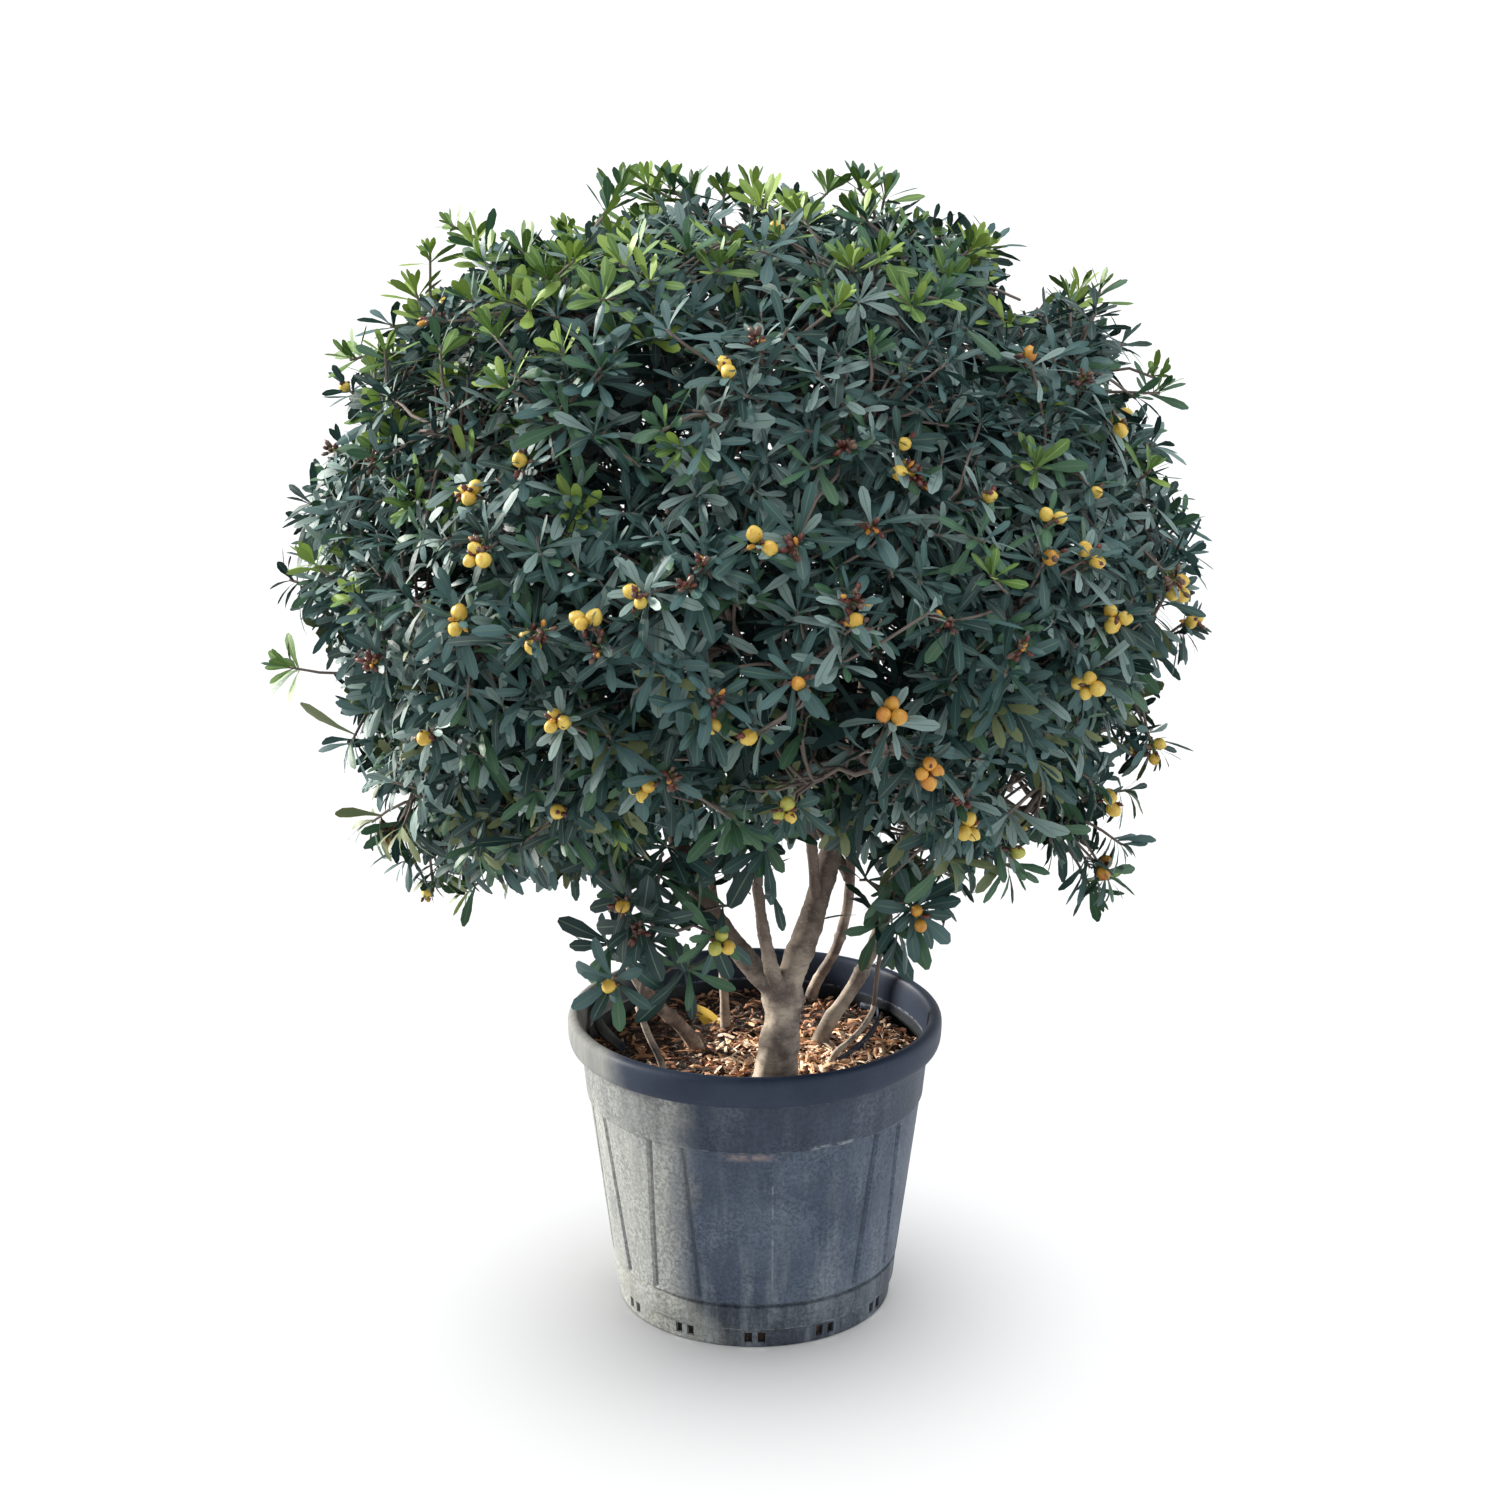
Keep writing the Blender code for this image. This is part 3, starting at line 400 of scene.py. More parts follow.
def pot_material(name, painted_shade):
    """Weathered slate plastic: dust on the left and low down, the left side paler also as painted sunlight, a
    mottled grain, streaks and worn edges, and the painted shade it is given.
    """
    recipe = Recipe(name, (0.075, 0.095, 0.125), 0.6, shine=0.25)
    ramp, band, blend, times = recipe.ramp, recipe.band, recipe.blend, recipe.times
    x, y, z = recipe.axes()
    below_rim = ramp(z, POT_HEIGHT - 0.036, POT_HEIGHT - 0.030, 1.0, 0.0)
    facing = ramp(y, -0.12, -0.10, 1.0, 0.0)
    cloud = recipe.noise(11.0, 5.0, 0.62)
    streaks = recipe.noise(5.0, 5.0, 0.65, stretch=(9.0, 9.0, 0.9))
    mottle = recipe.noise(260.0, 3.0, 0.75)
    grit = recipe.noise(95.0, 4.0, 0.7)

    colour = blend(ramp(cloud, 0.35, 0.65), (0.046, 0.062, 0.094), (0.076, 0.098, 0.136))
    collar = ramp(z, COLLAR_BOTTOM - 0.001, COLLAR_BOTTOM + 0.001)
    rim = ramp(z, POT_HEIGHT - RIM_DEPTH, POT_HEIGHT - 0.031)
    foot = ramp(z, PANEL_BOTTOM - 0.002, PANEL_BOTTOM, 1.0, 0.0)
    for zone, dark, light in (
        (collar, (0.027, 0.038, 0.060), (0.044, 0.060, 0.088)),
        (rim, (0.016, 0.025, 0.048), (0.026, 0.038, 0.066)),
        (foot, (0.034, 0.042, 0.056), (0.058, 0.068, 0.086)),
    ):
        colour = blend(zone, colour, blend(ramp(cloud, 0.35, 0.7), dark, light))

    # Dust on the left, wider at the foot and narrow on the rim, which is also painted sunlight on the pot's
    # left side, and then a thin wash of dust all over
    lean = recipe.plus(x, times(cloud, 0.05))
    lean = recipe.plus(lean, ramp(z, 0.01, 0.06, -0.030, 0.0))
    lean = recipe.plus(lean, ramp(below_rim, 0.0, 1.0, 0.070, 0.0))
    dust_and_sunlit_side = times(ramp(lean, -0.068, -0.030, 1.0, 0.0), ramp(streaks, 0.30, 0.62, 0.60, 1.0),
                 ramp(z, COLLAR_BOTTOM - 0.01, COLLAR_BOTTOM + 0.01, 1.0, 0.76))
    colour = blend(times(dust_and_sunlit_side, 0.85), colour, (0.375, 0.375, 0.340))
    wash = times(ramp(streaks, 0.44, 0.68), ramp(z, 0.02, 0.240, 0.50, 0.12), below_rim)
    colour = blend(wash, colour, (0.205, 0.235, 0.255))
    shade = blend(ramp(mottle, 0.36, 0.64), (0.68, 0.68, 0.70), (1.38, 1.38, 1.36))
    spots = ramp(recipe.noise(26.0, 3.0), 0.38, 0.62, 0.50, 1.0)
    speckled = times(ramp(below_rim, 0.0, 1.0, 0.20, 1.0), spots)
    colour = blend(speckled, colour, shade, "MULTIPLY")

    # Worn edges, the rub mark under the collar, a drip and a scratch
    edges = recipe.math("MAXIMUM", band(z, COLLAR_BOTTOM - 0.0004, COLLAR_BOTTOM + 0.0016, 0.0006),
                        band(z, FOOT_HEIGHT - 0.0006, FOOT_HEIGHT + 0.0010, 0.0005))
    edges = recipe.math("MAXIMUM", edges, band(z, POT_HEIGHT - 0.0325, POT_HEIGHT - 0.0310, 0.0004))
    colour = blend(times(edges, ramp(grit, 0.46, 0.62), 0.45), colour, (0.400, 0.410, 0.410))
    patch = times(band(x, -0.028, 0.014, 0.014), band(z, 0.2260, 0.2320, 0.0035), facing)
    colour = blend(times(patch, ramp(grit, 0.30, 0.62, 0.10, 0.65)), colour, (0.330, 0.250, 0.220))
    drip = times(band(x, 0.0175, 0.0190, 0.0008), band(z, 0.075, 0.205, 0.02))
    scratch = times(band(x, 0.058, 0.105, 0.004), band(z, 0.2345, 0.2385, 0.001))
    drip = times(recipe.math("MAXIMUM", drip, scratch), ramp(grit, 0.40, 0.62))
    colour = blend(times(drip, times(facing, 0.45)), colour, (0.360, 0.390, 0.410))

    # Painted shade: the grooves and the inside are blended towards near-black
    recipe.colour(blend(painted_shade, colour, (0.012, 0.013, 0.015)) if painted_shade else colour)
    recipe.roughness(ramp(dust_and_sunlit_side, 0.0, 0.8, 0.52, 0.85))
    recipe.bump(times(recipe.plus(grit, mottle), ramp(below_rim, 0.0, 1.0, 0.25, 1.0)), 0.45, 0.0010)


def mix_material():
    recipe = Recipe("potting_mix", (0.03, 0.02, 0.015), 0.95)
    clods = recipe.noise(55.0, 5.0, 0.7)
    fibre = recipe.noise(220.0, 3.0, 0.6)
    colour = recipe.blend(recipe.ramp(clods, 0.4, 0.65), (0.018, 0.012, 0.010), (0.090, 0.052, 0.034))
    recipe.colour(recipe.blend(recipe.ramp(fibre, 0.57, 0.70, 0.0, 0.8), colour, (0.400, 0.240, 0.145)))
    recipe.bump(recipe.plus(clods, fibre), 0.8, 0.003)


def make_materials():
    plain_materials(LEAF_TONES, 0.52, LEAF_SKIN)
    plain_materials(MIDRIB_TONES, 0.5, LEAF_SKIN)
    plain_materials({"leaf_fallen": (0.620, 0.400, 0.045)}, 0.55, LEAF_SKIN)
    plain_materials(TWIG_TONES, 0.8, TWIG_SKIN)
    plain_materials(CHIP_TONES, 0.85, CHIP_SKIN)
    for name, (colour, blush) in CAPSULE_TONES.items():
        capsule_material(name, colour, blush)
    for name, painted_shade in POT_PAINTED_SHADE.items():
        pot_material(name, painted_shade)
    bark_material()
    mix_material()


# Meshes from arrays

def linked(name, data):
    """A new object in the scene."""
    item = bpy.data.objects.new(name, data)
    bpy.context.scene.collection.objects.link(item)
    return item


def piece(name, points, faces, finishes, tones=None, smooth=True):
    """A mesh object with its finishes' materials, for each face the one whose number tones gives."""
    mesh = bpy.data.meshes.new(name)
    mesh.from_pydata(np.asarray(points).reshape(-1, 3), [], faces)
    for finish in finishes:
        mesh.materials.append(materials[finish])
    if tones is not None:
        mesh.polygons.foreach_set("material_index", np.asarray(tones, np.int32))
    mesh.polygons.foreach_set("use_smooth", np.full(len(mesh.polygons), smooth))
    mesh.update()
    return linked(name, mesh)


def stand_for(item, slot, *nodes):
    """The piece rides on the plant's only body and stands for the nodes. The slot is not used."""
    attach(item, "root")
    if nodes:
        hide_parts(*nodes)
    return item


def unit(vectors):
    return vectors / np.maximum(np.linalg.norm(vectors, axis=-1, keepdims=True), 1e-9)


def tube_points(paths, widths, heights, references, sides):
    """Rings round each path: half widths across the tube, half heights toward its reference."""
    paths = np.asarray(paths, float)
    ahead = unit(np.gradient(paths, axis=1))
    across = unit(np.cross(np.asarray(references, float)[:, None], ahead))
    upward = np.cross(ahead, across)
    turns = np.arange(sides) * 2 * math.pi / sides
    ring = across[:, :, None] * (np.asarray(widths)[..., None] * np.cos(turns))[..., None]
    ring = ring + upward[:, :, None] * (np.asarray(heights)[..., None] * np.sin(turns))[..., None]
    return paths[:, :, None] + ring


def tube_faces(count, rings, sides):
    """Faces of closed tubes, the sides first and then both caps, tube by tube."""
    faces = []
    for tube in range(count):
        first = tube * rings * sides
        last = first + (rings - 1) * sides
        for low in range(first, last, sides):
            for side in range(sides):
                beside = (side + 1) % sides
                faces.append((low + side, low + beside, low + sides + beside, low + sides + side))
        faces.append(tuple(first + side for side in reversed(range(sides))))
        faces.append(tuple(last + side for side in range(sides)))
    return faces


def tubes(name, points, finishes, tones=None, smooth=True):
    """A piece of closed tubes, from each tube's rings of points."""
    return piece(name, points, tube_faces(*points.shape[:3]), finishes, tones, smooth)


def twig_tubes(name, paths, radii, sides, finish):
    """A piece of thin round tubes."""
    paths = np.array([[list(point) for point in path] for path in paths])
    radii = np.broadcast_to(radii, paths.shape[:2])
    references = np.cross(paths[:, -1] - paths[:, 0], TWIG_REFERENCE)
    return tubes(name, tube_points(paths, radii, radii, references, sides), [finish])


# The pot

def panel_radius(height):
    bottom, top = BASE_RADIUS + 0.0075, RIM_RADIUS - 0.021
    return bottom + (top - bottom) * (height - PANEL_BOTTOM) / (COLLAR_BOTTOM - PANEL_BOTTOM)


def rounded(points, rounds=2):
    """Cuts the corners of an open outline, keeping its ends."""
    for _ in range(rounds):
        cut = [points[0]]
        for (r0, h0), (r1, h1) in zip(points, points[1:]):
            cut.append((0.75 * r0 + 0.25 * r1, 0.75 * h0 + 0.25 * h1))
            cut.append((0.25 * r0 + 0.75 * r1, 0.25 * h0 + 0.75 * h1))
        points = cut + [points[-1]]
    return points


# Each outline as a step from its radius, with a height or a step from the pot's top
RIM_OUTLINE = (
    (-0.0145, -0.006), (-0.0115, 0.0006), (-0.0050, 0.0012), (0.0004, -0.003), (0.0006, -0.014),
    (-0.0006, -0.027), (-0.0045, -0.0325), (-0.0130, -0.0320),
)
COLLAR_OUTLINE = (
    (-0.0134, POT_HEIGHT - 0.0335), (-0.0186, COLLAR_BOTTOM + 0.003), (-0.0188, COLLAR_BOTTOM + 0.0016),
    (-0.0196, COLLAR_BOTTOM + 0.0006),
)
FOOT_OUTLINE = (
    (0.0034, PANEL_BOTTOM - 0.0014), (0.0030, PANEL_BOTTOM - 0.0044), (0.0060, PANEL_BOTTOM - 0.0062),
    (0.0064, PANEL_BOTTOM - 0.0080), (0.0042, FOOT_HEIGHT + 0.002), (0.0038, FOOT_HEIGHT),
    (0.0010, FOOT_HEIGHT - 0.0014), (-0.0006, 0.0012), (-0.0018, 0.0),
)


def pot_profile():
    """From the middle of the floor out, up the inside, over the rim and down the outside to the middle."""
    inside_top = RIM_RADIUS - COLLAR_STEP - WALL
    inside = [(0.0, WALL), (BASE_RADIUS - WALL, WALL), (inside_top, POT_HEIGHT - RIM_DEPTH)]
    roll = [(inside_top + 0.0003, POT_HEIGHT - 0.031)]
    roll += [(RIM_RADIUS + out, POT_HEIGHT + up) for out, up in RIM_OUTLINE]
    collar = [(RIM_RADIUS + out, height) for out, height in COLLAR_OUTLINE]
    heights = [COLLAR_BOTTOM - down for down in (0.0, 0.002, 0.006, 0.012)]
    heights += [PANEL_BOTTOM + 0.145 - 0.029 * i for i in range(5)]
    heights += [PANEL_BOTTOM + up for up in (0.012, 0.006, 0.003, 0.0)]
    panels = [(panel_radius(height), height) for height in heights]
    foot = [(BASE_RADIUS + out, height) for out, height in FOOT_OUTLINE]
    return inside + rounded(roll) + collar + panels + foot + [(0.0, 0.0)]


PANEL_STEPS = (12, 5, 4)  # columns from a panel's middle to its first groove, to the second and to the edge
GROOVE_SHAPE = ((-1.0, 0.0), (-0.45, 0.8), (0.0, 1.0), (0.45, 0.8), (1.0, 0.0))  # share of width, of depth
PANEL_MEAN_RADIUS = 0.165


def pot_columns():
    """Half a panel's columns, each by its angle from the middle as a rule of height and its depth."""
    def groove(number, aside=0.0):
        above, below = GROOVE_OFFSETS[number]

        def angle(height):
            share = (height - PANEL_BOTTOM) / (COLLAR_BOTTOM - PANEL_BOTTOM)
            line = below + (above - below) * min(1.0, max(0.0, share))
            return line + math.degrees(aside / PANEL_MEAN_RADIUS)
        return angle

    def between(first, last, share):
        return lambda height: first(height) + (last(height) - first(height)) * share

    lines = [lambda height: 0.0, groove(0), groove(1), lambda height: 180.0 / PANELS]
    columns = [(lines[0], 0.0)]
    for zone, steps in enumerate(PANEL_STEPS):
        columns += [(between(lines[zone], lines[zone + 1], step / steps), 0.0) for step in range(1, steps)]
        if zone < len(GROOVE_OFFSETS):
            columns += [(groove(zone, share * GROOVE_HALF_WIDTH), depth) for share, depth in GROOVE_SHAPE]
    return columns, (lines[-1], 0.0)


def build_pot():
    """The turned wall with its groove lines pressed in, and the drain slots cut through."""
    profile = pot_profile()
    columns, edge = pot_columns()
    panel = [(*column, -1) for column in reversed(columns[1:])]
    panel += [(*column, 1) for column in [*columns, edge]]
    grooved = [PANEL_BOTTOM + 0.0025 < height < COLLAR_BOTTOM - 0.001 and radius > BASE_RADIUS
               for radius, height in profile]
    points = []
    for number in range(PANELS):
        for offset, depth, side in panel:
            for (radius, height), in_zone in zip(profile, grooved):
                turn = math.radians(PANEL_MIDDLE + number * 360 / PANELS + side * offset(height))
                reach = radius - (GROOVE_DEPTH * depth if in_zone else 0.0)
                points.append((reach * math.cos(turn), reach * math.sin(turn), height))
    count, rows = PANELS * len(panel), len(profile)
    faces, tones = [], []
    for column in range(count):
        beside = (column + 1) % count
        deep = panel[column % len(panel)][1] > 0.5 and panel[beside % len(panel)][1] > 0.5
        here, there = column * rows, beside * rows
        for row in range(rows - 1):
            faces.append((here + row, there + row, there + row + 1, here + row + 1))
            sunken = deep and grooved[row] and grooved[row + 1]
            # Tone 2 is the inside and tone 1 the grooves, both darkened as painted shade
            tones.append(2 if row < 2 else 1 if sunken else 0)
    pot = piece("pot_shell", points, faces, POT_PAINTED_SHADE, tones)
    shape = bmesh.new()
    shape.from_mesh(pot.data)
    bmesh.ops.remove_doubles(shape, verts=shape.verts, dist=0.00002)
    bmesh.ops.recalc_face_normals(shape, faces=shape.faces)
    shape.to_mesh(pot.data)
    shape.free()
    cut_drain_slots(pot)
    pot.data.set_sharp_from_angle(angle=math.radians(38))
    return stand_for(pot, "pot_plastic", "pot")


def cut_drain_slots(pot):
    shape = bmesh.new()
    centre = Matrix.Translation((BASE_RADIUS, 0, WALL + 0.001 + DRAIN_SIZE[2] / 2))
    for pair in range(DRAIN_PAIRS):
        for side in (-1, 1):
            turn = math.radians(DRAIN_FIRST + pair * 360 / DRAIN_PAIRS) + side * DRAIN_SPACING / BASE_RADIUS
            place = Matrix.Rotation(turn, 4, "Z") @ centre @ Matrix.Diagonal((*DRAIN_SIZE, 1.0))
            bmesh.ops.create_cube(shape, size=1.0, matrix=place)
    mesh = bpy.data.meshes.new("slots")
    shape.to_mesh(mesh)
    shape.free()
    cutter = linked("slots", mesh)
    cut = pot.modifiers.new("slots", "BOOLEAN")
    cut.operation = "DIFFERENCE"
    cut.object = cutter
    cut.solver = "EXACT"
    apply_modifiers(pot)
    bpy.data.objects.remove(cutter)


def apply_modifiers(item):
    bpy.context.view_layer.update()
    graph = bpy.context.evaluated_depsgraph_get()
    mesh = bpy.data.meshes.new_from_object(item.evaluated_get(graph))
    item.modifiers.clear()
    item.data = mesh


# The potting mix and what lies on it

def soil_height(x, y):
    """The bumpy top of the mix."""
    drop = 0.010 * max(0.0, min(1.0, (math.hypot(x, y) - 0.150) / 0.030))
    lump = 0.0035 * noise.noise(Vector((x * 22, y * 22, 1.7)))
    lump += 0.0020 * noise.noise(Vector((x * 70, y * 70, 5.1)))
    return SOIL_LEVEL - 0.0025 - drop + lump


def inner_radius(height):
    """The pot's inner wall."""
    slope = (RIM_RADIUS - COLLAR_STEP - BASE_RADIUS) / (POT_HEIGHT - RIM_DEPTH - WALL)
    return BASE_RADIUS - WALL + slope * (height - WALL)


def within_wall(point):
    """The point itself, or the place against the pot's inner wall if the point lies in it or beyond it."""
    share = min(1.0, (inner_radius(point.z) - WALL_GAP) / math.hypot(point.x, point.y))
    return Vector((point.x * share, point.y * share, point.z))


def build_mix():
    """A bumpy disc with a side that follows the pot's wall down to its floor."""
    rings, sides = 48, 128
    edge = inner_radius(SOIL_LEVEL - 0.012) - 0.0004
    bottom = WALL + 0.0005
    foot = inner_radius(bottom) - 0.0006
    points = [(0.0, 0.0, soil_height(0.0, 0.0))]
    for ring in range(1, rings + 2):
        radius = edge * ring / rings if ring <= rings else foot
        for side in range(sides):
            turn = 2 * math.pi * side / sides
            x, y = radius * math.cos(turn), radius * math.sin(turn)
            points.append((x, y, soil_height(x, y) if ring <= rings else bottom))
    faces = [(0, 1 + side, 1 + (side + 1) % sides) for side in range(sides)]
    for low in range(1, 1 + rings * sides, sides):
        for side in range(sides):
            beside = (side + 1) % sides
            faces.append((low + side, low + sides + side, low + sides + beside, low + beside))
    faces.append(tuple(1 + rings * sides + side for side in reversed(range(sides))))
    mix = piece("potting_mix_bed", points, faces, ["potting_mix"])
    stand_for(mix, "potting_mix", "potting_mix")


CHIP_SIDES = 4
CHIP_STATIONS = (-0.5, -0.2, 0.2, 0.5)


def pale_and_sunlit(x, y):
    """How many pale chips lie here: they gather round the trunk and to its right, partly as painted sunlight
    on the mix there.
    """
    trunk = math.exp(-((x - 0.045) ** 2 + (y + 0.040) ** 2) / 0.0060)
    return trunk + 0.55 * math.exp(-((x - 0.135) ** 2 + (y + 0.005) ** 2) / 0.0016)


def build_chips():
    """Wood chips and bark splinters strewn on the mix."""
    rng = random.Random(7)
    names = list(CHIP_TONES)
    paths, widths, heights, references, tones = [], [], [], [], []
    while len(paths) < CHIPS:
        turn, out = rng.uniform(0, math.tau), CHIPS_REACH * math.sqrt(rng.random())
        x, y = out * math.cos(turn), out * math.sin(turn)
        pale = pale_and_sunlit(x, y)
        if rng.random() > 0.25 + pale:
            continue
        # Pale chips where it is pale and sunlit and dark ones elsewhere: partly painted sunlight, and painted
        # shade of the rim to the left
        tone = rng.choices(names, (3.2 * pale, 2.8 * pale + 0.15, 1.0, 1.6 - 1.3 * min(1.0, pale)))[0]
        length = rng.uniform(0.006, 0.024) * (1.0 if tone != "chip_dark" else 0.7)
        heading = rng.uniform(0, math.tau)
        tilt = rng.gauss(0.0, 0.28)
        level = math.cos(tilt)
        ahead = Vector((math.cos(heading) * level, math.sin(heading) * level, math.sin(tilt)))
        middle = Vector((x, y, soil_height(x, y) + rng.uniform(0.0005, 0.0045)))
        bow = Vector((rng.gauss(0, 0.14), rng.gauss(0, 0.14), rng.uniform(-0.08, 0.22))) * length
        paths.append([within_wall(middle + ahead * (length * share) + bow * (1 - 4 * share * share))
                      for share in CHIP_STATIONS])
        width = rng.uniform(0.0008, 0.0031)
        shares = (rng.uniform(0.2, 0.7), 1.0, rng.uniform(0.8, 1.1), rng.uniform(0.1, 0.6))
        widths.append([width * share for share in shares])
        heights.append([rng.uniform(0.0003, 0.0010)] * len(CHIP_STATIONS))
        references.append(Matrix.Rotation(rng.gauss(0.0, 0.45), 3, ahead) @ Vector((0, 0, 1)))
        tones.append(names.index(tone))
    points = tube_points(paths, widths, heights, references, CHIP_SIDES)
    faces_each = CHIP_SIDES * (len(CHIP_STATIONS) - 1) + 2
    stand_for(tubes("wood_chips", points, names, np.repeat(tones, faces_each), False), "potting_mix")


def pixel_ray(x, y):
    """The direction from the camera through a pixel of the photo."""
    half = PHOTO_SIDE / 2
    ray = Vector(((x - half) / FOCAL_PIXELS, 1.0, (half - y) / FOCAL_PIXELS))
    return (Matrix.Rotation(-CAMERA_PITCH, 3, "X") @ ray).normalized()


def at_height(x, y, height):
    """The place at a height that a pixel of the photo shows."""
    ray = pixel_ray(x, y)
    return CAMERA_PLACE + ray * ((height - CAMERA_PLACE.z) / ray.z)


def on_mix(x, y):
    """The place on top of the mix that a pixel of the photo shows."""
    place = at_height(x, y, SOIL_LEVEL)
    return Vector((place.x, place.y, soil_height(place.x, place.y)))


def against_wall(x, y):
    """The place just over the mix that a pixel shows, or higher up if it shows the pot's inner wall."""
    height = SOIL_LEVEL + 0.010
    place = at_height(x, y, height)
    while within_wall(place) != place and height < POT_HEIGHT - 0.012:
        height += 0.001
        place = at_height(x, y, height)
    return place


def build_litter():
    """A sliver of old liner standing in the mix, a weathered strip against the wall and a fallen leaf."""
    for name, place, pixels, height, lift, lean in (
        ("liner_sliver", on_mix, FRAGMENT_PIXELS, 0.0110, 0.0044, 0.0),
        ("wall_strip", against_wall, STRIP_PIXELS, 0.0090, 0.0, 0.03),
    ):
        path = smooth_path([place(x, y) for x, y in pixels], 8)
        path = [within_wall(point + Vector((0, 0, lift))) for point in path]
        last = len(path) - 1
        wide = [height * (0.55 + 0.45 * math.sin(math.pi * i / last)) for i in range(len(path))]
        reference = (path[-1] - path[0]).cross(Vector((0, 0, 1))) + Vector((0, 0, lean))
        points = tube_points([path], [wide], [[0.0010] * len(path)], [reference], 6)
        stand_for(tubes(name, points, ["pot_plastic"]), "pot_plastic")
    start, end = (on_mix(x, y) for x, y in FALLEN_LEAF_PIXELS)
    along = (end - start).normalized()
    up = Vector((0, -0.55, 1))
    face = (up - along * along.dot(up)).normalized()
    outline = [(i / 12, math.sin(math.pi * (0.04 + 0.94 * i / 12)) ** 0.7) for i in range(13)]
    columns = (-1.0, -0.5, -0.05, 0.05, 0.5, 1.0)
    leaf = (start + Vector((0, 0, 0.006)), along, face, (end - start).length, 0.019, 0.7, 0.35)
    points, faces = leaf_points([leaf], outline, columns), leaf_faces(1, outline, columns)
    stand_for(piece("fallen_leaf", points, faces, ["leaf_fallen"]), "potting_mix")


# Limbs

def polar(distance, azimuth, height):
    turn = math.radians(azimuth)
    return Vector((distance * math.cos(turn), distance * math.sin(turn), height))


def frontness(azimuth):
    """1 at the front of the plant, 0 from the sides back."""
    return max(0.0, -math.sin(math.radians(azimuth)))


def bezier(start, control, end, count):
    shares = [i / count for i in range(count + 1)]
    return [start * (1 - t) ** 2 + control * 2 * t * (1 - t) + end * t**2 for t in shares]


def smooth_path(route, per_span=14):
    """A path through the route's points, rounded at each by quadratic arcs."""
    points = [route[0]]
    for i in range(1, len(route) - 1):
        end = route[i + 1] if i == len(route) - 2 else (route[i] + route[i + 1]) / 2
        points += bezier(points[-1], route[i], end, per_span)[1:]
    return points


class Limb:
    """A tapering limb, by its path and its first and last radius."""

    def __init__(self, path, first_radius, last_radius, flare=1.0):
        self.path = path
        self.first_radius = first_radius
        self.last_radius = last_radius
        self.flare = flare
        self.tip = path[-1]
        self.heading = (path[-1] - path[-2]).normalized()

    def point_at(self, share):
        spans = list(zip(self.path, self.path[1:]))
        left = share * sum((b - a).length for a, b in spans)
        for a, b in spans:
            length = (b - a).length
            if left <= length:
                return a.lerp(b, left / length)
            left -= length
        return self.tip.copy()

    def resampled(self, spacing):
        """The limb with its path's points spaced evenly."""
        length = sum((b - a).length for a, b in zip(self.path, self.path[1:]))
        count = max(8, round(length / spacing))
        path = [self.point_at(i / count) for i in range(count + 1)]
        return Limb(path, self.first_radius, self.last_radius, self.flare)


# Each stem's foot, the rest of its route, its first and last radius and the flare at its foot
STEMS = {
    "trunk": (
        0.027, -0.108, ((0.025, -0.106, 0.325), (0.030, -0.097, 0.362), (0.030, -0.093, 0.385)),
        0.0185, 0.0190, 1.35),
    "left_stem": (
        -0.061, -0.012, ((-0.123, -0.053, 0.365), (-0.142, -0.080, 0.450), (-0.165, -0.095, 0.545)),
        0.0075, 0.0052, 1.25),
    "left_sucker": (
        -0.095, -0.085, ((-0.112, -0.082, 0.325), (-0.122, -0.078, 0.355)), 0.0042, 0.0034, 1.25),
    "middle_stem": (
        -0.032, 0.050, ((-0.036, 0.046, 0.390), (-0.066, 0.100, 0.555)), 0.0052, 0.0042, 1.25),
    "back_stem": (
        0.063, 0.142, ((0.094, 0.133, 0.342), (0.110, 0.107, 0.440), (0.100, 0.125, 0.545)),
        0.0062, 0.0050, 1.25),
    "right_stem": (
        0.068, 0.000, ((0.112, 0.027, 0.343), (0.139, 0.036, 0.410), (0.168, 0.010, 0.530)),
        0.0085, 0.0055, 1.25),
    "right_sucker": (
        0.078, -0.062, ((0.104, -0.044, 0.305), (0.126, -0.014, 0.322), (0.128, 0.004, 0.326)),
        0.0034, 0.0028, 1.25),
}
# Each limb's route from the fork and its first and last radius
FORK_LIMBS = {
    "right_limb": (
        ((0.030, -0.095, 0.380), (0.080, -0.053, 0.480), (0.114, 0.004, 0.670)), 0.0150, 0.0085),
    "left_limb": (
        ((0.026, -0.095, 0.373), (-0.034, -0.092, 0.437), (-0.088, -0.062, 0.540), (-0.110, -0.030, 0.670)),
        0.0125, 0.0080),
    "centre_shoot": (
        ((0.026, -0.102, 0.384), (0.012, -0.124, 0.410), (0.002, -0.118, 0.505)), 0.0088, 0.0056),
}
LOW_BOUGH_PARENTS = (
    ("right_stem", 0.78), ("back_stem", 0.80), ("back_stem", 0.60), ("middle_stem", 0.80),
    ("left_limb", 0.62), ("left_stem", 0.72), ("right_limb", 0.30), ("right_limb", 0.50),
)
SHOULDER_BOUGHS = (
    ("right", "right_limb", 0.78, 0.0), ("back", "left_limb", 0.90, 102.0),
    ("left", "left_limb", 0.78, 205.0), ("front", "right_limb", 0.72, 282.0),
)


def plan_limbs():
    """The source's trunk, stems and limbs. A stem stands upright as it leaves the mix."""
    limbs = {}
    for name, (x, y, route, *radii) in STEMS.items():
        foot = [Vector((x, y, SOIL_LEVEL - 0.010)), Vector((x, y, SOIL_LEVEL + 0.010))]
        limbs[name] = Limb(smooth_path(foot + [Vector(point) for point in route]), *radii)
    for name, (route, *radii) in FORK_LIMBS.items():
        limbs[name] = Limb(smooth_path([Vector(point) for point in route]), *radii)
    return limbs


def grow_bough(parent, share, tip, first_radius, last_radius):
    """A bough that leaves its parent steeply and bends out to its tip."""
    start = parent.point_at(share)
    rise = Vector((0, 0, (tip - start).length * 0.45))
    return Limb(bezier(start, (start + tip) / 2 + rise * 0.35, tip, 24), first_radius, last_radius, 1.35)


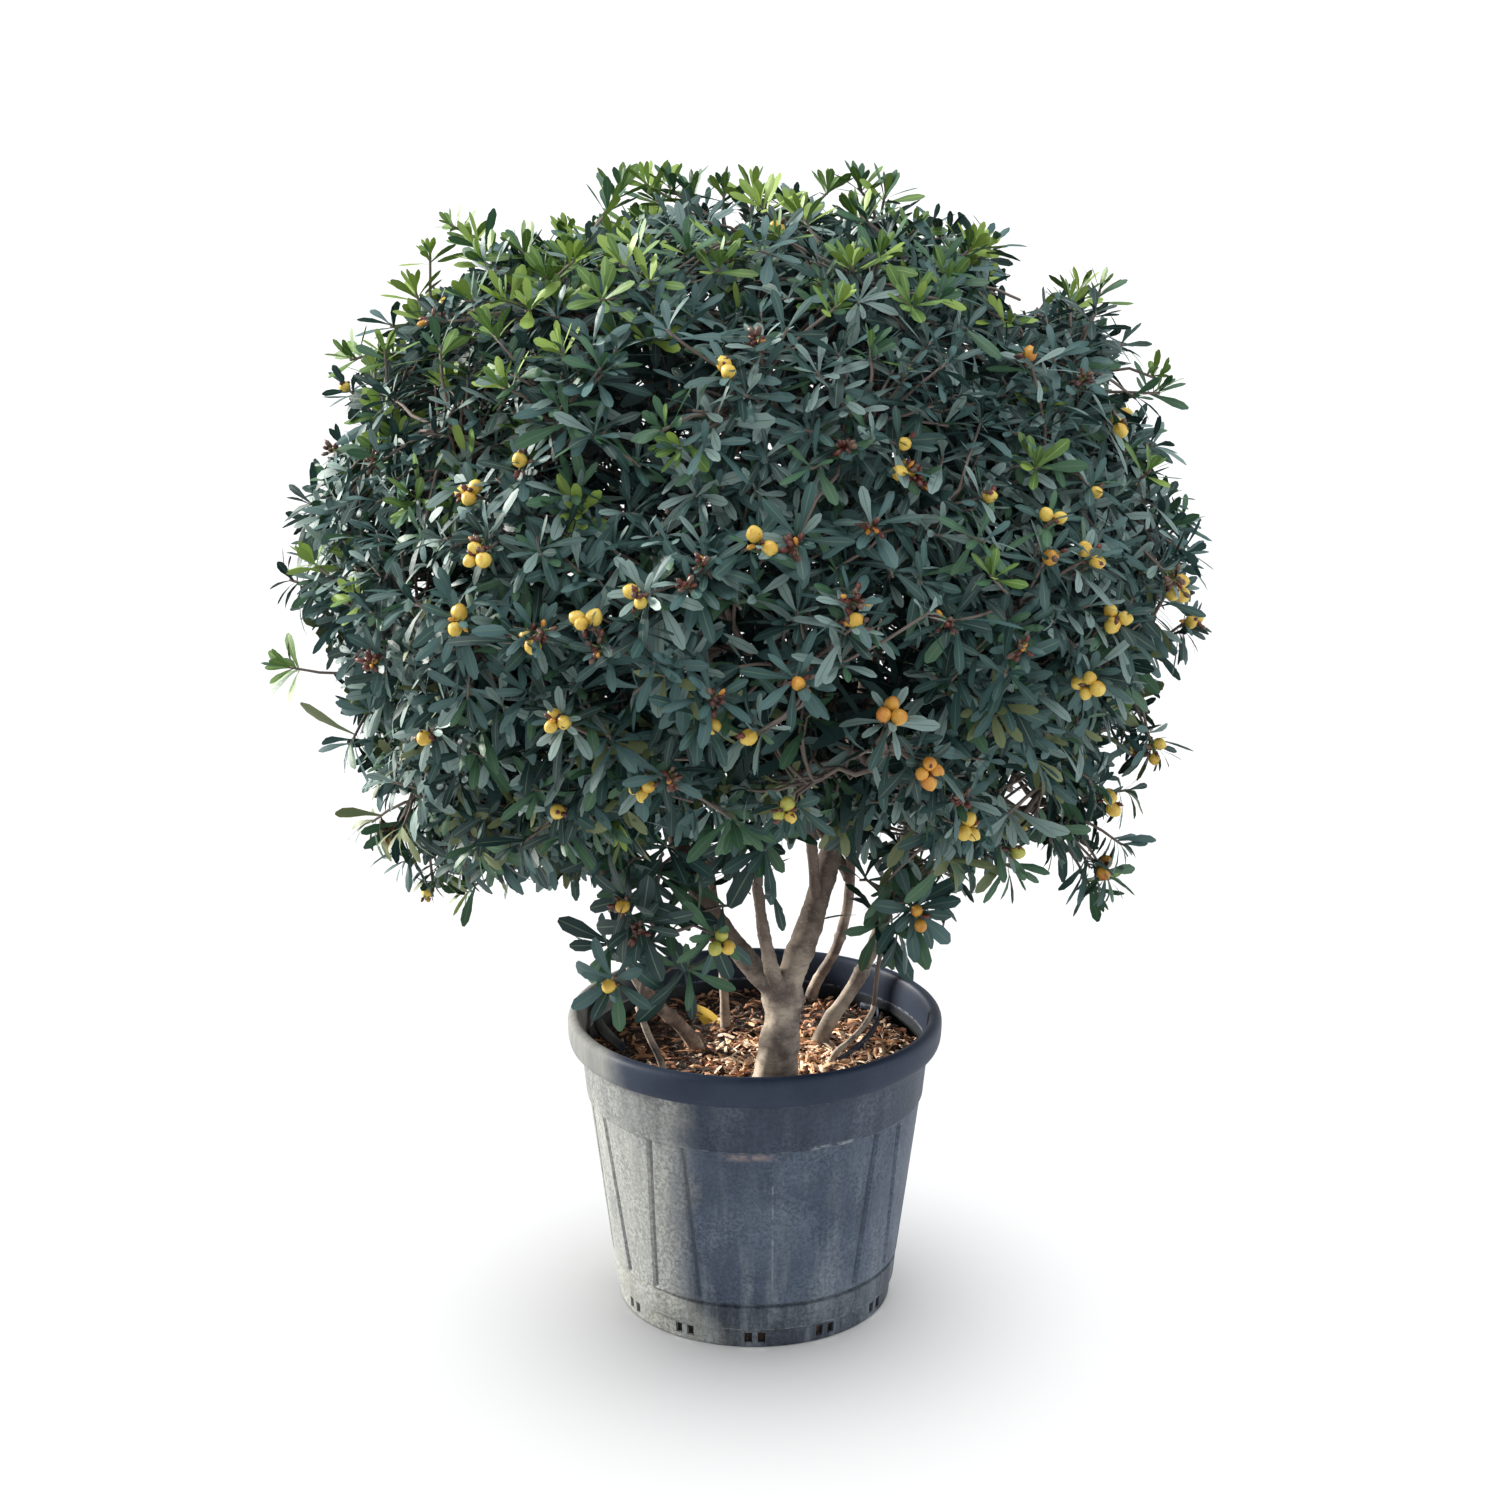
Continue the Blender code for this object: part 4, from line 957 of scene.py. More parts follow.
def plan_boughs(limbs):
    boughs = {}
    for number, (parent, share) in enumerate(LOW_BOUGH_PARENTS):
        azimuth = 11.25 + 45 * number
        tip = polar(0.190, azimuth, 0.600 + 0.12 * frontness(azimuth) ** 1.5)
        boughs[f"low_bough_{number}"] = grow_bough(limbs[parent], share, tip, 0.0058, 0.0048)
    for side, parent, share, azimuth in SHOULDER_BOUGHS:
        tip = polar(0.150, azimuth, 0.800)
        boughs[f"shoulder_bough_{side}"] = grow_bough(limbs[parent], share, tip, 0.0062, 0.0050)
    for side, x in (("left", -0.050), ("right", 0.050)):
        limb = limbs[f"{side}_limb"]
        first, control = limb.tip + limb.heading * 0.010, limb.tip + limb.heading * 0.12
        path = [limb.tip - limb.heading * 0.004] + bezier(first, control, Vector((x, 0.0, 0.940)), 24)
        boughs[f"{side}_leader"] = Limb(path, 0.0080, 0.0058)
    return boughs


def limb_points(limb, sides, seed):
    """Rings along a limb, with taper and flare, swollen nodes where old leaves sat and a knotted skin."""
    rng = random.Random(seed)
    path = np.array([list(point) for point in limb.path])
    along = np.concatenate([[0.0], np.cumsum(np.linalg.norm(np.diff(path, axis=0), axis=1))])
    share = along / along[-1]
    radii = limb.first_radius + (limb.last_radius - limb.first_radius) * share
    radii = radii * (1 + (limb.flare - 1) * np.maximum(0.0, 1 - 6 * share) ** 2)
    for _ in range(int(along[-1] / 0.035)):
        node = rng.uniform(0, along[-1])
        radii = radii * (1 + rng.uniform(0.05, 0.16) * np.exp(-(((along - node) / 0.0035) ** 2)))
    reference = np.cross(path[-1] - path[0], TWIG_REFERENCE)
    points = tube_points([path], [radii], [radii], [reference], sides)[0]
    for ring, middle in zip(points, path):
        for point in ring:
            place = Vector(point)
            point += (point - middle) * (0.10 * noise.noise(place * 75) + 0.05 * noise.noise(place * 210))
    return points


FORK_NAMES = ("trunk", "right_limb", "left_limb", "centre_shoot")
FORK_SIDES = 28
FORK_VOXEL = 0.0024
BOUGH_SIDES = 14
BUTTRESS_ROUTE = ((0.006, -0.114, -0.010), (0.014, -0.111, 0.020), (0.022, -0.108, 0.058))  # over the mix
SWELLING_PLACE = (0.029, -0.096, 0.372)
SWELLING_RADIUS = 0.0235


def fork_shapes(limbs):
    """Points and faces of the limbs at the fork, the trunk's buttress and the swelling between them."""
    route = [Vector((x, y, SOIL_LEVEL + up)) for x, y, up in BUTTRESS_ROUTE]
    parts = [(limbs[name].resampled(0.004), seed) for seed, name in enumerate(FORK_NAMES)]
    parts.append((Limb(bezier(*route, 12), 0.0120, 0.0150), 9))
    parts = [limb_points(limb, FORK_SIDES, seed) for limb, seed in parts]
    shapes = [(rings.reshape(-1, 3).tolist(), tube_faces(1, len(rings), FORK_SIDES)) for rings in parts]
    ball = bmesh.new()
    place = Matrix.Translation(SWELLING_PLACE) @ Matrix.Diagonal((1, 0.9, 0.85, 1))
    bmesh.ops.create_icosphere(ball, subdivisions=3, radius=SWELLING_RADIUS, matrix=place)
    shapes.append(([list(vertex.co) for vertex in ball.verts],
                   [[vertex.index for vertex in face.verts] for face in ball.faces]))
    ball.free()
    return shapes


def build_fork(limbs):
    """Trunk, both limbs and the centre shoot as one skin, grown together at the fork."""
    points, faces = [], []
    for more_points, more_faces in fork_shapes(limbs):
        faces += [[len(points) + corner for corner in face] for face in more_faces]
        points += more_points
    fork = piece("fork_bark", points, faces, ["bark"])
    remesh = fork.modifiers.new("one skin", "REMESH")
    remesh.mode = "VOXEL"
    remesh.voxel_size = FORK_VOXEL
    smooth = fork.modifiers.new("soften", "SMOOTH")
    smooth.factor = 0.5
    smooth.iterations = 7
    apply_modifiers(fork)
    mesh = fork.data
    for vertex in mesh.vertices:
        place = vertex.co
        low = max(0.0, 1 - (place.z - SOIL_LEVEL) / 0.09)
        flutes = 0.0026 * low * noise.noise(Vector((place.x * 75, place.y * 75, place.z * 12)))
        rings = 0.00065 * noise.noise(Vector((place.x * 45, place.y * 45, place.z * 420)))
        warts = 0.00055 * noise.noise(place * 230) + 0.0010 * noise.noise(place * 60)
        vertex.co = place + vertex.normal * (flutes + rings + warts)
    mesh.materials.clear()
    mesh.materials.append(materials["bark"])
    mesh.polygons.foreach_set("use_smooth", np.full(len(mesh.polygons), True))
    mesh.update()
    stand_for(fork, "bark", *FORK_NAMES)


def build_bark(limbs, boughs):
    build_fork(limbs)
    for seed, (name, limb) in enumerate({**limbs, **boughs}.items()):
        if name not in FORK_NAMES:
            rings = limb_points(limb.resampled(0.005), BOUGH_SIDES, 100 + seed)
            stand_for(tubes(f"{name}_bark", rings[None], ["bark"]), "bark", name)


# The crown's outline and its masses, by the source's rule

def outline_share(point):
    """How far out a point lies: 0 at the crown's middle, 1 on its outline, which draws in at its waists."""
    away = point - CROWN_MIDDLE
    reach = CROWN_REACH
    for height, half, depth in WAISTS:
        reach *= 1 - depth * math.exp(-(((point.z - height) / half) ** 2))
    rise, power = CROWN_RISE, CROWN_ROUND_ABOVE
    if away.z <= 0:
        rise = CROWN_DROP - FRONT_LIFT * frontness(math.degrees(math.atan2(away.y, away.x))) ** 1.5
        power = CROWN_ROUND_BELOW
    out = math.hypot(away.x, away.y) / reach
    return (out**power + (abs(away.z) / rise) ** power) ** (1 / power)


def outline_points(count):
    """Points spread evenly over the crown's outline on a golden spiral, from the top down."""
    points = []
    for i in range(count):
        up = 1 - (i + 0.5) / count * (1 - CROWN_OPEN_BELOW)
        out = math.sqrt(1 - up * up)
        turn = i * GOLDEN_ANGLE
        height = CROWN_RISE if up > 0 else CROWN_DROP
        away = Vector((out * math.cos(turn) * CROWN_REACH, out * math.sin(turn) * CROWN_REACH, up * height))
        points.append(CROWN_MIDDLE + away / outline_share(CROWN_MIDDLE + away))
    return points


class Mass:
    """A mass of foliage: its bough, the middle of its space and, for a shoot, that space's radius."""

    def __init__(self, name, bough, centre, reach=None):
        self.name = name
        self.bough = bough
        self.centre = centre
        self.reach = reach
        self.tips = []
        self.fine_tips = []


# Where a fine twig ends, what it carries there and whether a pixel of the photo places it
Tip = namedtuple("Tip", ("place", "kind", "capsules", "placed"), defaults=("leaves", 0, False))

# Each ring's count, first azimuth, distance, height, lift in front and its masses' boughs
CROWN_RINGS = {
    "skirt": (8, 22.5, 0.315, 0.533, FRONT_LIFT, [f"low_bough_{number}" for number in range(8)]),
    "waist": (8, 0.0, 0.350, 0.725, FRONT_LIFT / 2, [f"low_bough_{number}" for number in range(8)]),
    "shoulder": (7, 25.7, 0.310, 0.925, 0.03, [
        f"shoulder_bough_{side}" for side in ("right", "back", "back", "left", "left", "front", "right")]),
    "top": (4, 45.0, 0.185, 1.055, 0.0, ["right_leader", "left_leader", "left_leader", "right_leader"]),
}


def plan_masses():
    """Each ring of the crown's masses, and the shoots below it."""
    rings = {}
    for ring, (count, first, distance, height, lift, boughs) in CROWN_RINGS.items():
        rings[ring] = []
        for number in range(count):
            azimuth = first + number * 360 / count
            centre = polar(distance, azimuth, height + lift * frontness(azimuth) ** 1.5)
            centre.x += CROWN_MIDDLE.x
            rings[ring].append(Mass(f"{ring}_{number}", boughs[number], centre))
    rings["top"].append(Mass("crest", "left_leader", Vector((-0.010, 0.0, 1.085))))
    masses = [mass for members in rings.values() for mass in members]
    share_source_tips(masses)
    rings["low"] = [
        Mass("low_left", "left_sucker", Vector((-0.095, -0.125, 0.485)), 0.110),
        Mass("low_right", "right_sucker", Vector((0.155, -0.035, 0.490)), 0.100),
        Mass("low_centre", "centre_shoot", Vector((0.005, -0.120, 0.540)), 0.090),
    ]
    return rings, masses


def nearest_mass(point, masses):
    return min(masses, key=lambda mass: (mass.centre - point).length)


def spread_tips(points, count, rng):
    """Places spread evenly among the points: each moves to the middle of those nearest it, eight times."""
    tips = rng.sample(points, count)
    for _ in range(8):
        groups = [[] for _ in tips]
        for point in points:
            nearest = min(range(count), key=lambda i: (tips[i] - point).length)
            groups[nearest].append(point)
        tips = [sum(group, Vector()) / len(group) if group else tip for tip, group in zip(tips, groups)]
    return tips


def share_source_tips(masses):
    """The source's twig tips: each is the end of a main twig here."""
    points = outline_points(1200)
    for seed, mass in enumerate(masses):
        own = [point for point in points if nearest_mass(point, masses) is mass]
        count = max(2, round(SOURCE_WHORLS * len(own) / len(points)))
        for tip in spread_tips(own, count, random.Random(seed)):
            mass.tips.append(tip + (CROWN_MIDDLE - tip).normalized() * SOURCE_LEAF * 0.52)


def outline_behind_pixel(x, y, inset):
    """Where a pixel's ray comes inset metres inside the crown's outline, or passes nearest to it."""
    ray = pixel_ray(x, y)
    best, best_share = None, 9.0
    for step in range(220):
        point = CAMERA_PLACE + ray * (2.05 + 0.005 * step)
        share = outline_share(point)
        if share < best_share:
            best, best_share = point, share
        if share < 1 - inset / CROWN_REACH:
            break
    return best


def billows(point):
    """How far the foliage's surface lies inside the outline here, because the crown is made of billows."""
    way = (point - CROWN_MIDDLE).normalized()
    billow = 0.5 + 0.5 * noise.noise(way * 3.1 + Vector((4.0, 0, 0)))
    tuft = 0.5 + 0.5 * noise.noise(way * 7.5 + Vector((0, 9.0, 0)))
    return 0.026 * billow + 0.034 * tuft


def plan_hollows():
    """Where the crown opens: by the photo in front, and as many again to the sides and behind."""
    rng = random.Random(23)
    hollows = [(outline_behind_pixel(x, y, 0.02), radius) for x, y, radius in HOLLOW_PIXELS]
    unseen = [point for point in outline_points(HOLLOWS_UNSEEN) if point.y > 0.08]
    return hollows + [(point, rng.uniform(0.035, 0.070)) for point in unseen]


def in_hollow(place, hollows, share=1.0):
    return any((place - middle).length < radius * share for middle, radius in hollows)


SKY_RAYS = [(pixel_ray(x, y), radius) for x, y, radius in SKY_PIXELS]


def before_sky(place):
    """Whether a place, seen from the camera, lies in one of the gaps that show sky."""
    return any((place - CAMERA_PLACE).cross(ray).length < radius + 0.004 for ray, radius in SKY_RAYS)


def scatter(rng, spread):
    return Vector([rng.gauss(0, spread) for _ in range(3)])


def plan_tips(masses, hollows):
    """Every fine twig's tip: those placed by the photo first, then the outer layer, then the inner one."""
    rng = random.Random(11)
    tips = []
    for pixels, inset, kind, capsules in PLACED_TIPS:
        for x, y, *own in pixels:
            tips.append(Tip(outline_behind_pixel(x, y, inset), kind, own[0] if own else capsules, True))
    tips += [Tip(Vector(place), "stray", 0, True) for place in STRAY_TIPS]
    placed = [tip.place for tip in tips]
    for point in outline_points(OUTER_WHORLS):
        ranked = sorted((mass.centre - point).length for mass in masses)
        border = max(0.0, 1 - (ranked[1] - ranked[0]) / 0.05)
        depth = LEAF_LENGTH * rng.uniform(0.12, 0.62) + 0.016 * border + billows(point)
        depth += rng.expovariate(1 / 0.010)
        place = point + (CROWN_MIDDLE - point).normalized() * depth + scatter(rng, 0.009)
        crowded = min((place - other).length for other in placed) < TIP_SPACING
        if not crowded and not in_hollow(place, hollows, rng.uniform(0.6, 1.1)) and not before_sky(place):
            tips.append(dress(place, rng))
    for point in outline_points(INNER_WHORLS):
        inward = (CROWN_MIDDLE - point).normalized()
        place = point + inward * rng.uniform(0.115, 0.200) + scatter(rng, 0.012)
        if not in_hollow(place, hollows, 0.8) and not before_sky(place):
            tips.append(Tip(place, "inner"))
    for tip in tips:
        nearest_mass(tip.place, masses).fine_tips.append(tip)


def dress(place, rng):
    """What an unplaced tip carries: capsules mostly at the back and sides, where no pixel places them."""
    height = (place.z - CROWN_MIDDLE.z) / CROWN_RISE
    unseen = place.y > -0.05 + 0.12 * abs(place.x) and height < 0.72
    if unseen and rng.random() < 0.06:
        return Tip(place, capsules=rng.choice((1, 2, 2, 3, 3, 4)))
    if unseen and rng.random() < 0.03:
        return Tip(place, capsules=-1)
    # More young, yellow-green sprays on the upper left: partly fresh growth, partly painted sunlight shining
    # through the leaves on the lit side
    left_and_sunlit = max(0.0, -place.x / CROWN_REACH)
    young = 0.015 + max(0.0, height - 0.55) * 0.40 + 0.65 * left_and_sunlit * max(0.0, height)
    if rng.random() < young:
        return Tip(place, "young")
    return Tip(place, "low" if height < rng.uniform(-0.9, 0.1) else "leaves")


# Twigs, leaves and capsules

class Growth:
    """All that a ring of masses carries, gathered to be made into joined meshes."""

    def __init__(self, hollows):
        self.hollows = hollows
        self.twigs = []
        self.radii = []
        self.leaves = []
        self.inner_leaves = []
        self.stalks = []
        self.capsules = []

    def add_twig(self, start, control, end, rng, wobble, first_radius, last_radius):
        path = bezier(start, control, end, TWIG_STEPS)
        for point in path[1:-1]:
            point += scatter(rng, wobble)
        self.twigs.append(path)
        taper = last_radius - first_radius
        self.radii.append([first_radius + taper * i / TWIG_STEPS for i in range(TWIG_STEPS + 1)])
        return path


def grow_mass(mass, carrier, growth, rng):
    """Main twigs to the source's tips, finer twigs from them to the fine tips, and a whorl at each end."""
    start = carrier.tip - carrier.heading * 0.006
    growth.add_twig(start, (start + mass.centre) / 2, mass.centre, rng, 0.0015, 0.0048, 0.0038)
    mains = []
    for number, tip in enumerate(mass.tips):
        leave = start.lerp(mass.centre, max(0.45, 0.97 - 0.06 * number))
        bend = (leave + tip) / 2 + Vector((0, 0, 0.015))
        mains.append(growth.add_twig(leave, bend, tip, rng, 0.0030, 0.0034, 0.0020))
        add_whorl(growth, Tip(tip), mains[-1], rng)
    for tip in mass.fine_tips:
        main = min(mains, key=lambda path: (path[-1] - tip.place).length)
        leave = main[rng.choice((1, 2, 2, 3, 3, 4))]
        toward = (main[-1] - main[0]).normalized()
        reach = (tip.place - leave).length
        control = leave + toward * reach * 0.42 + Vector((0, 0, -0.06 * reach))
        path = growth.add_twig(leave, control, tip.place, rng, 0.0018, 0.0022, 0.0014)
        add_whorl(growth, tip, path, rng)


def grow_shoot(mass, carrier, growth, rng):
    """A leafy shoot below the crown: a twig for each of its pixels leaves the stem, one above the other."""
    start = carrier.tip - carrier.heading * 0.004
    top = mass.centre + Vector((0, 0, mass.reach * 0.35))
    bend = (start + top) / 2 + Vector((0, 0.012, 0))
    stem = growth.add_twig(start, bend, top, rng, 0.002, carrier.last_radius, 0.0022)
    add_whorl(growth, Tip(top, "shoot"), stem, rng)
    for x, y, capsules in SHOOT_PIXELS[mass.name]:
        ray = pixel_ray(x, y)
        depth = mass.centre.y + mass.reach * (-0.60 if capsules else rng.uniform(-0.40, 0.55))
        end = CAMERA_PLACE + ray * ((depth - CAMERA_PLACE.y) / ray.y)
        leave = min(stem[1:], key=lambda point: abs(point.z - end.z + 0.025))
        bend = (leave + end) / 2 + Vector((0, 0, 0.012))
        path = growth.add_twig(leave, bend, end, rng, 0.002, 0.0022, 0.0015)
        add_whorl(growth, Tip(end, "shoot", capsules, True), path, rng)


def pick(choices, rng):
    return rng.choices(list(choices), list(choices.values()))[0]


def pick_tone(kind, rng):
    return "leaf_" + pick(TONE_CHOICES[kind], rng)


def add_whorl(growth, tip, path, rng):
    """Leaves round the end of a twig, the lower ones longest and spread widest."""
    end = path[-1]
    along = (path[-1] - path[-2]).normalized()
    outward = end - CROWN_MIDDLE
    outward.z *= 1.0 if outward.z > 0 else 0.3
    outward.normalize()
    height = max(0.0, min(1.0, 0.5 + (end.z - CROWN_MIDDLE.z) / CROWN_RISE))
    heading = along * 0.38 + outward * 0.26 + Vector((0, 0, 0.26 + 0.30 * height)) + scatter(rng, 0.14)
    droop = 0.14 + 0.26 * (1 - height)
    hangs = tip.kind == "hanging"
    if hangs:
        heading = along * 0.2 + outward * 0.45 + Vector((0, 0, -0.15))
        droop = 0.70
    heading.normalize()
    side = heading.orthogonal().normalized()
    first = rng.uniform(0, math.tau)
    young = tip.kind in ("young", "stray")
    kept_inside = tip.kind not in ("hanging", "stray", "shoot")
    count = rng.randint(7, 9) if tip.kind == "inner" else rng.randint(9, 12)
    tone = pick_tone(tip.kind, rng)
    scale = rng.uniform(0.84, 1.08) * LEAF_SCALES.get(tip.kind, 1.0)
    layer = growth.inner_leaves if tip.kind == "inner" else growth.leaves
    for i in range(count):
        age = 1 - i / (count - 1)
        spread = math.radians((14 + 48 * age if young else 30 + 56 * age) + rng.uniform(-13, 13))
        turn = first + i * GOLDEN_ANGLE + rng.uniform(-0.2, 0.2)
        sideways = Matrix.Rotation(turn, 3, heading) @ side
        direction = heading * math.cos(spread) + sideways * math.sin(spread)
        direction = (direction + Vector((0, 0, -droop * age))).normalized()
        upper = outward + Vector((0, 0, 0.5)) if hangs else heading
        face = (upper - direction * upper.dot(direction)).normalized()
        face = Matrix.Rotation(rng.gauss(0, 0.25 if hangs else 0.40), 3, direction) @ face
        length = LEAF_LENGTH * scale * (0.60 + 0.46 * age) * rng.uniform(0.86, 1.12)
        base = end - along * (0.001 + 0.013 * age)
        for _ in range(3):
            if kept_inside and outline_share(base + direction * length) > 1.015:
                length *= 0.88
        reach = base + direction * length
        breadth = rng.uniform(0.80, 1.14) * LEAF_BREADTHS.get(tip.kind, 1.0)
        width = LEAF_WIDTH * (length / LEAF_LENGTH) ** 0.8 * breadth
        bend = rng.uniform(0.15, 0.75) * (0.5 if young else 1.0) + 0.25 * (1 - height)
        fold = rng.uniform(-0.22, 0.12)
        leaf_tone = tone if rng.random() < 0.65 else pick_tone(tip.kind, rng)
        in_gap = before_sky(base.lerp(reach, 0.55)) or before_sky(base.lerp(reach, 0.90))
        if not in_gap and (tip.placed or not in_hollow(reach, growth.hollows, 0.70)):
            layer.append((base, direction, face, length, width, bend, fold, TONE_NAMES.index(leaf_tone)))
    if tip.capsules:
        add_capsules(growth, tip, end, along, heading, rng)


def add_capsules(growth, tip, end, along, heading, rng):
    """Capsules on short stalks from the middle of a whorl, with open ones and last year's husks."""
    side = heading.orthogonal().normalized()
    kind = pick({"capsule_yellow": 6, "capsule_orange": 2, "capsule_lime": 1}, rng)
    first = rng.uniform(0, math.tau)
    hub = end + heading * 0.010 + Vector((0, 0, -0.005))

    def add(middle, axis, size, stretch, tone):
        growth.stalks.append(bezier(end - along * 0.002, end + heading * 0.004, middle, 2))
        growth.capsules.append((middle, axis, size, stretch, tone))

    for i in range(max(0, tip.capsules)):
        size = CAPSULE_RADIUS * rng.uniform(0.82, 1.10)
        sideways = Matrix.Rotation(first + i * math.tau / max(2, tip.capsules), 3, heading) @ side
        out = 0.0 if tip.capsules == 1 else size * rng.uniform(1.0, 1.25)
        middle = hub + sideways * out + heading * rng.uniform(-0.004, 0.005)
        tone = kind if rng.random() < 0.8 else "capsule_yellow"
        add(middle, (middle - end).normalized(), size, 1.0, tone)
    open_ones = rng.randint(12, 17) if tip.capsules < 0 else rng.randint(2, 8)
    for _ in range(open_ones):
        away = scatter(rng, 1).normalized()
        middle = hub + away * rng.uniform(0.004, 0.012)
        tone = pick({"seed_red": 6, "husk": 4, "capsule_orange": 0.7}, rng)
        add(middle, away, rng.uniform(0.0020, 0.0034), rng.uniform(1.2, 2.0), tone)


def leaf_points(leaves, outline, columns):
    """Each leaf's grid of rows and columns, bent along its length and folded at its midrib."""
    base, direction, face = (np.array([list(leaf[i]) for leaf in leaves]) for i in range(3))
    length, width, bend, fold = (np.array([leaf[i] for leaf in leaves])[:, None] for i in range(3, 7))
    rows = np.array([share for share, _ in outline])[None]
    halves = np.array([half for _, half in outline])[None] * width / 2
    turned = bend * rows
    ahead = length * np.sin(turned) / bend
    down = length * (1 - np.cos(turned)) / bend
    spine = base[:, None] + direction[:, None] * ahead[..., None] - face[:, None] * down[..., None]
    lifted = face[:, None] * np.cos(turned)[..., None] + direction[:, None] * np.sin(turned)[..., None]
    across = np.cross(face, direction)[:, None]
    lines = []
    for share in columns:
        out = halves * share
        lines.append(spine + across * out[..., None] + lifted * (np.abs(out) * fold)[..., None])
    return np.stack(lines, axis=2)


def leaf_faces(count, outline, columns):
    rows, columns = len(outline), len(columns)
    first = np.arange(count)[:, None, None] * rows * columns
    low = first + np.arange(rows - 1)[None, :, None] * columns + np.arange(columns - 1)[None, None]
    return np.stack([low, low + 1, low + columns + 1, low + columns], axis=-1).reshape(-1, 4).tolist()


def build_leaves(name, leaves, rows, columns, *nodes):
    """Leaves as one piece. Where they have more than two columns, the middle ones hold a paler midrib."""
    tones = np.array([leaf[7] for leaf in leaves])[:, None]
    if len(columns) > 2:
        young = np.isin(tones, [TONE_NAMES.index(tone) for tone in YOUNG_TONES])
        rib = np.where(young, TONE_NAMES.index("midrib_young"), TONE_NAMES.index("midrib"))
        tones = np.concatenate([tones, rib, tones], axis=1)
    tones = tones[:, None].repeat(len(rows) - 1, axis=1).reshape(-1)
    points, faces = leaf_points(leaves, rows, columns), leaf_faces(len(leaves), rows, columns)
    stand_for(piece(name, points, faces, TONE_NAMES, tones), "foliage", *nodes)


def capsule_points(middle, axis, size, stretch, rings, sides):
    """A capsule with three faint lobes and a small point, longer than wide by its stretch."""
    turn = axis.to_track_quat("Z", "Y").to_matrix()
    points = []
    for ring in range(1, rings):
        down = math.pi * ring / rings
        reach = size * stretch * math.cos(down) * (1.02 if ring > 1 else 1.10)
        for side in range(sides):
            around = math.tau * side / sides
            radius = size * math.sin(down) * (1 + 0.05 * math.cos(3 * around))
            x, y = radius * math.cos(around), radius * math.sin(around)
            points.append(middle + turn @ Vector((x, y, reach)))
    points.append(middle + turn @ Vector((0, 0, size * stretch * 1.22)))
    points.append(middle + turn @ Vector((0, 0, -size * stretch * 0.98)))
    return points


def build_capsules(capsules):
    names = list(CAPSULE_TONES)
    points, faces, tones = [], [], []
    for middle, axis, size, stretch, tone in capsules:
        rings, sides = (7, 10) if size > 0.005 else (3, 5)
        first = len(points)
        points += capsule_points(middle, axis, size, stretch, rings, sides)
        top, last = first + (rings - 1) * sides, first + (rings - 2) * sides
        for side in range(sides):
            beside = (side + 1) % sides
            faces.append((top, first + side, first + beside))
            for low in range(first, last, sides):
                faces.append((low + side, low + sides + side, low + sides + beside, low + beside))
            faces.append((last + side, top + 1, last + beside))
        tones += [names.index(tone)] * (len(faces) - len(tones))
    stand_for(piece("capsules", points, faces, names, tones), "foliage")


def grow_crown(limbs, boughs):
    """Leaves and twigs, joined ring by ring, and then what all the rings share."""
    carriers = {**limbs, **boughs}
    rings, masses = plan_masses()
    hollows = plan_hollows()
    plan_tips(masses, hollows)
    growths = []
    for seed, (ring, members) in enumerate(rings.items()):
        growth = Growth(hollows)
        for number, mass in enumerate(members):
            grow = grow_shoot if mass.reach else grow_mass
            grow(mass, carriers[mass.bough], growth, random.Random(100 * seed + number))
        nodes = [mass.name for mass in members]
        build_leaves(f"{ring}_leaves", growth.leaves, LEAF_ROWS, LEAF_COLUMNS, *nodes)
        stand_for(twig_tubes(f"{ring}_twigs", growth.twigs, growth.radii, 5, "twig"), "bark")
        growths.append(growth)
    inner_leaves = [leaf for growth in growths for leaf in growth.inner_leaves]
    build_leaves("inner_leaves", inner_leaves, INNER_ROWS, INNER_COLUMNS)
    build_capsules([capsule for growth in growths for capsule in growth.capsules])
    stalks = [path for growth in growths for path in growth.stalks]
    stand_for(twig_tubes("capsule_stalks", stalks, STALK_RADIUS, 4, "stalk"), "foliage")


# The stage


def build_stage():
    recipe = Recipe("floor", (0.62, 0.62, 0.62), 0.9, shine=0.0)
    recipe.bump(recipe.noise(40.0, 2.0), 0.02, 0.001)
    shape = bmesh.new()
    bmesh.ops.create_grid(shape, x_segments=1, y_segments=1, size=120.0)
    mesh = bpy.data.meshes.new("floor")
    shape.to_mesh(mesh)
    shape.free()
    mesh.materials.append(materials["floor"])
    linked("floor", mesh)


def sun(name, azimuth, elevation, angle, strength, colour):
    light = bpy.data.lights.new(name, "SUN")
    light.angle = math.radians(angle)
    light.energy = strength
    light.color = colour
    item = linked(name, light)
    item.location = polar(3.0, azimuth, 3.0)
    item.rotation_euler = (math.radians(90 - elevation), 0, math.radians(azimuth + 90))
    return item


def listed(name, items):
    """A list of pieces for a light."""
    pieces = bpy.data.collections.new(name)
    for item in items:
        pieces.objects.link(item)
    return pieces


def floor_alone(state):
    """A list for a light that leaves out the floor, or that holds nothing else."""
    floor = listed(f"floor {state.lower()}d", [bpy.data.objects["floor"]])
    floor.collection_objects[0].light_linking.link_state = state
    return floor


LOW_PIECES = ("wood_chips", "potting_mix_bed", "fallen_leaf")
WARM_WHITE = (1.0, 0.965, 0.90)


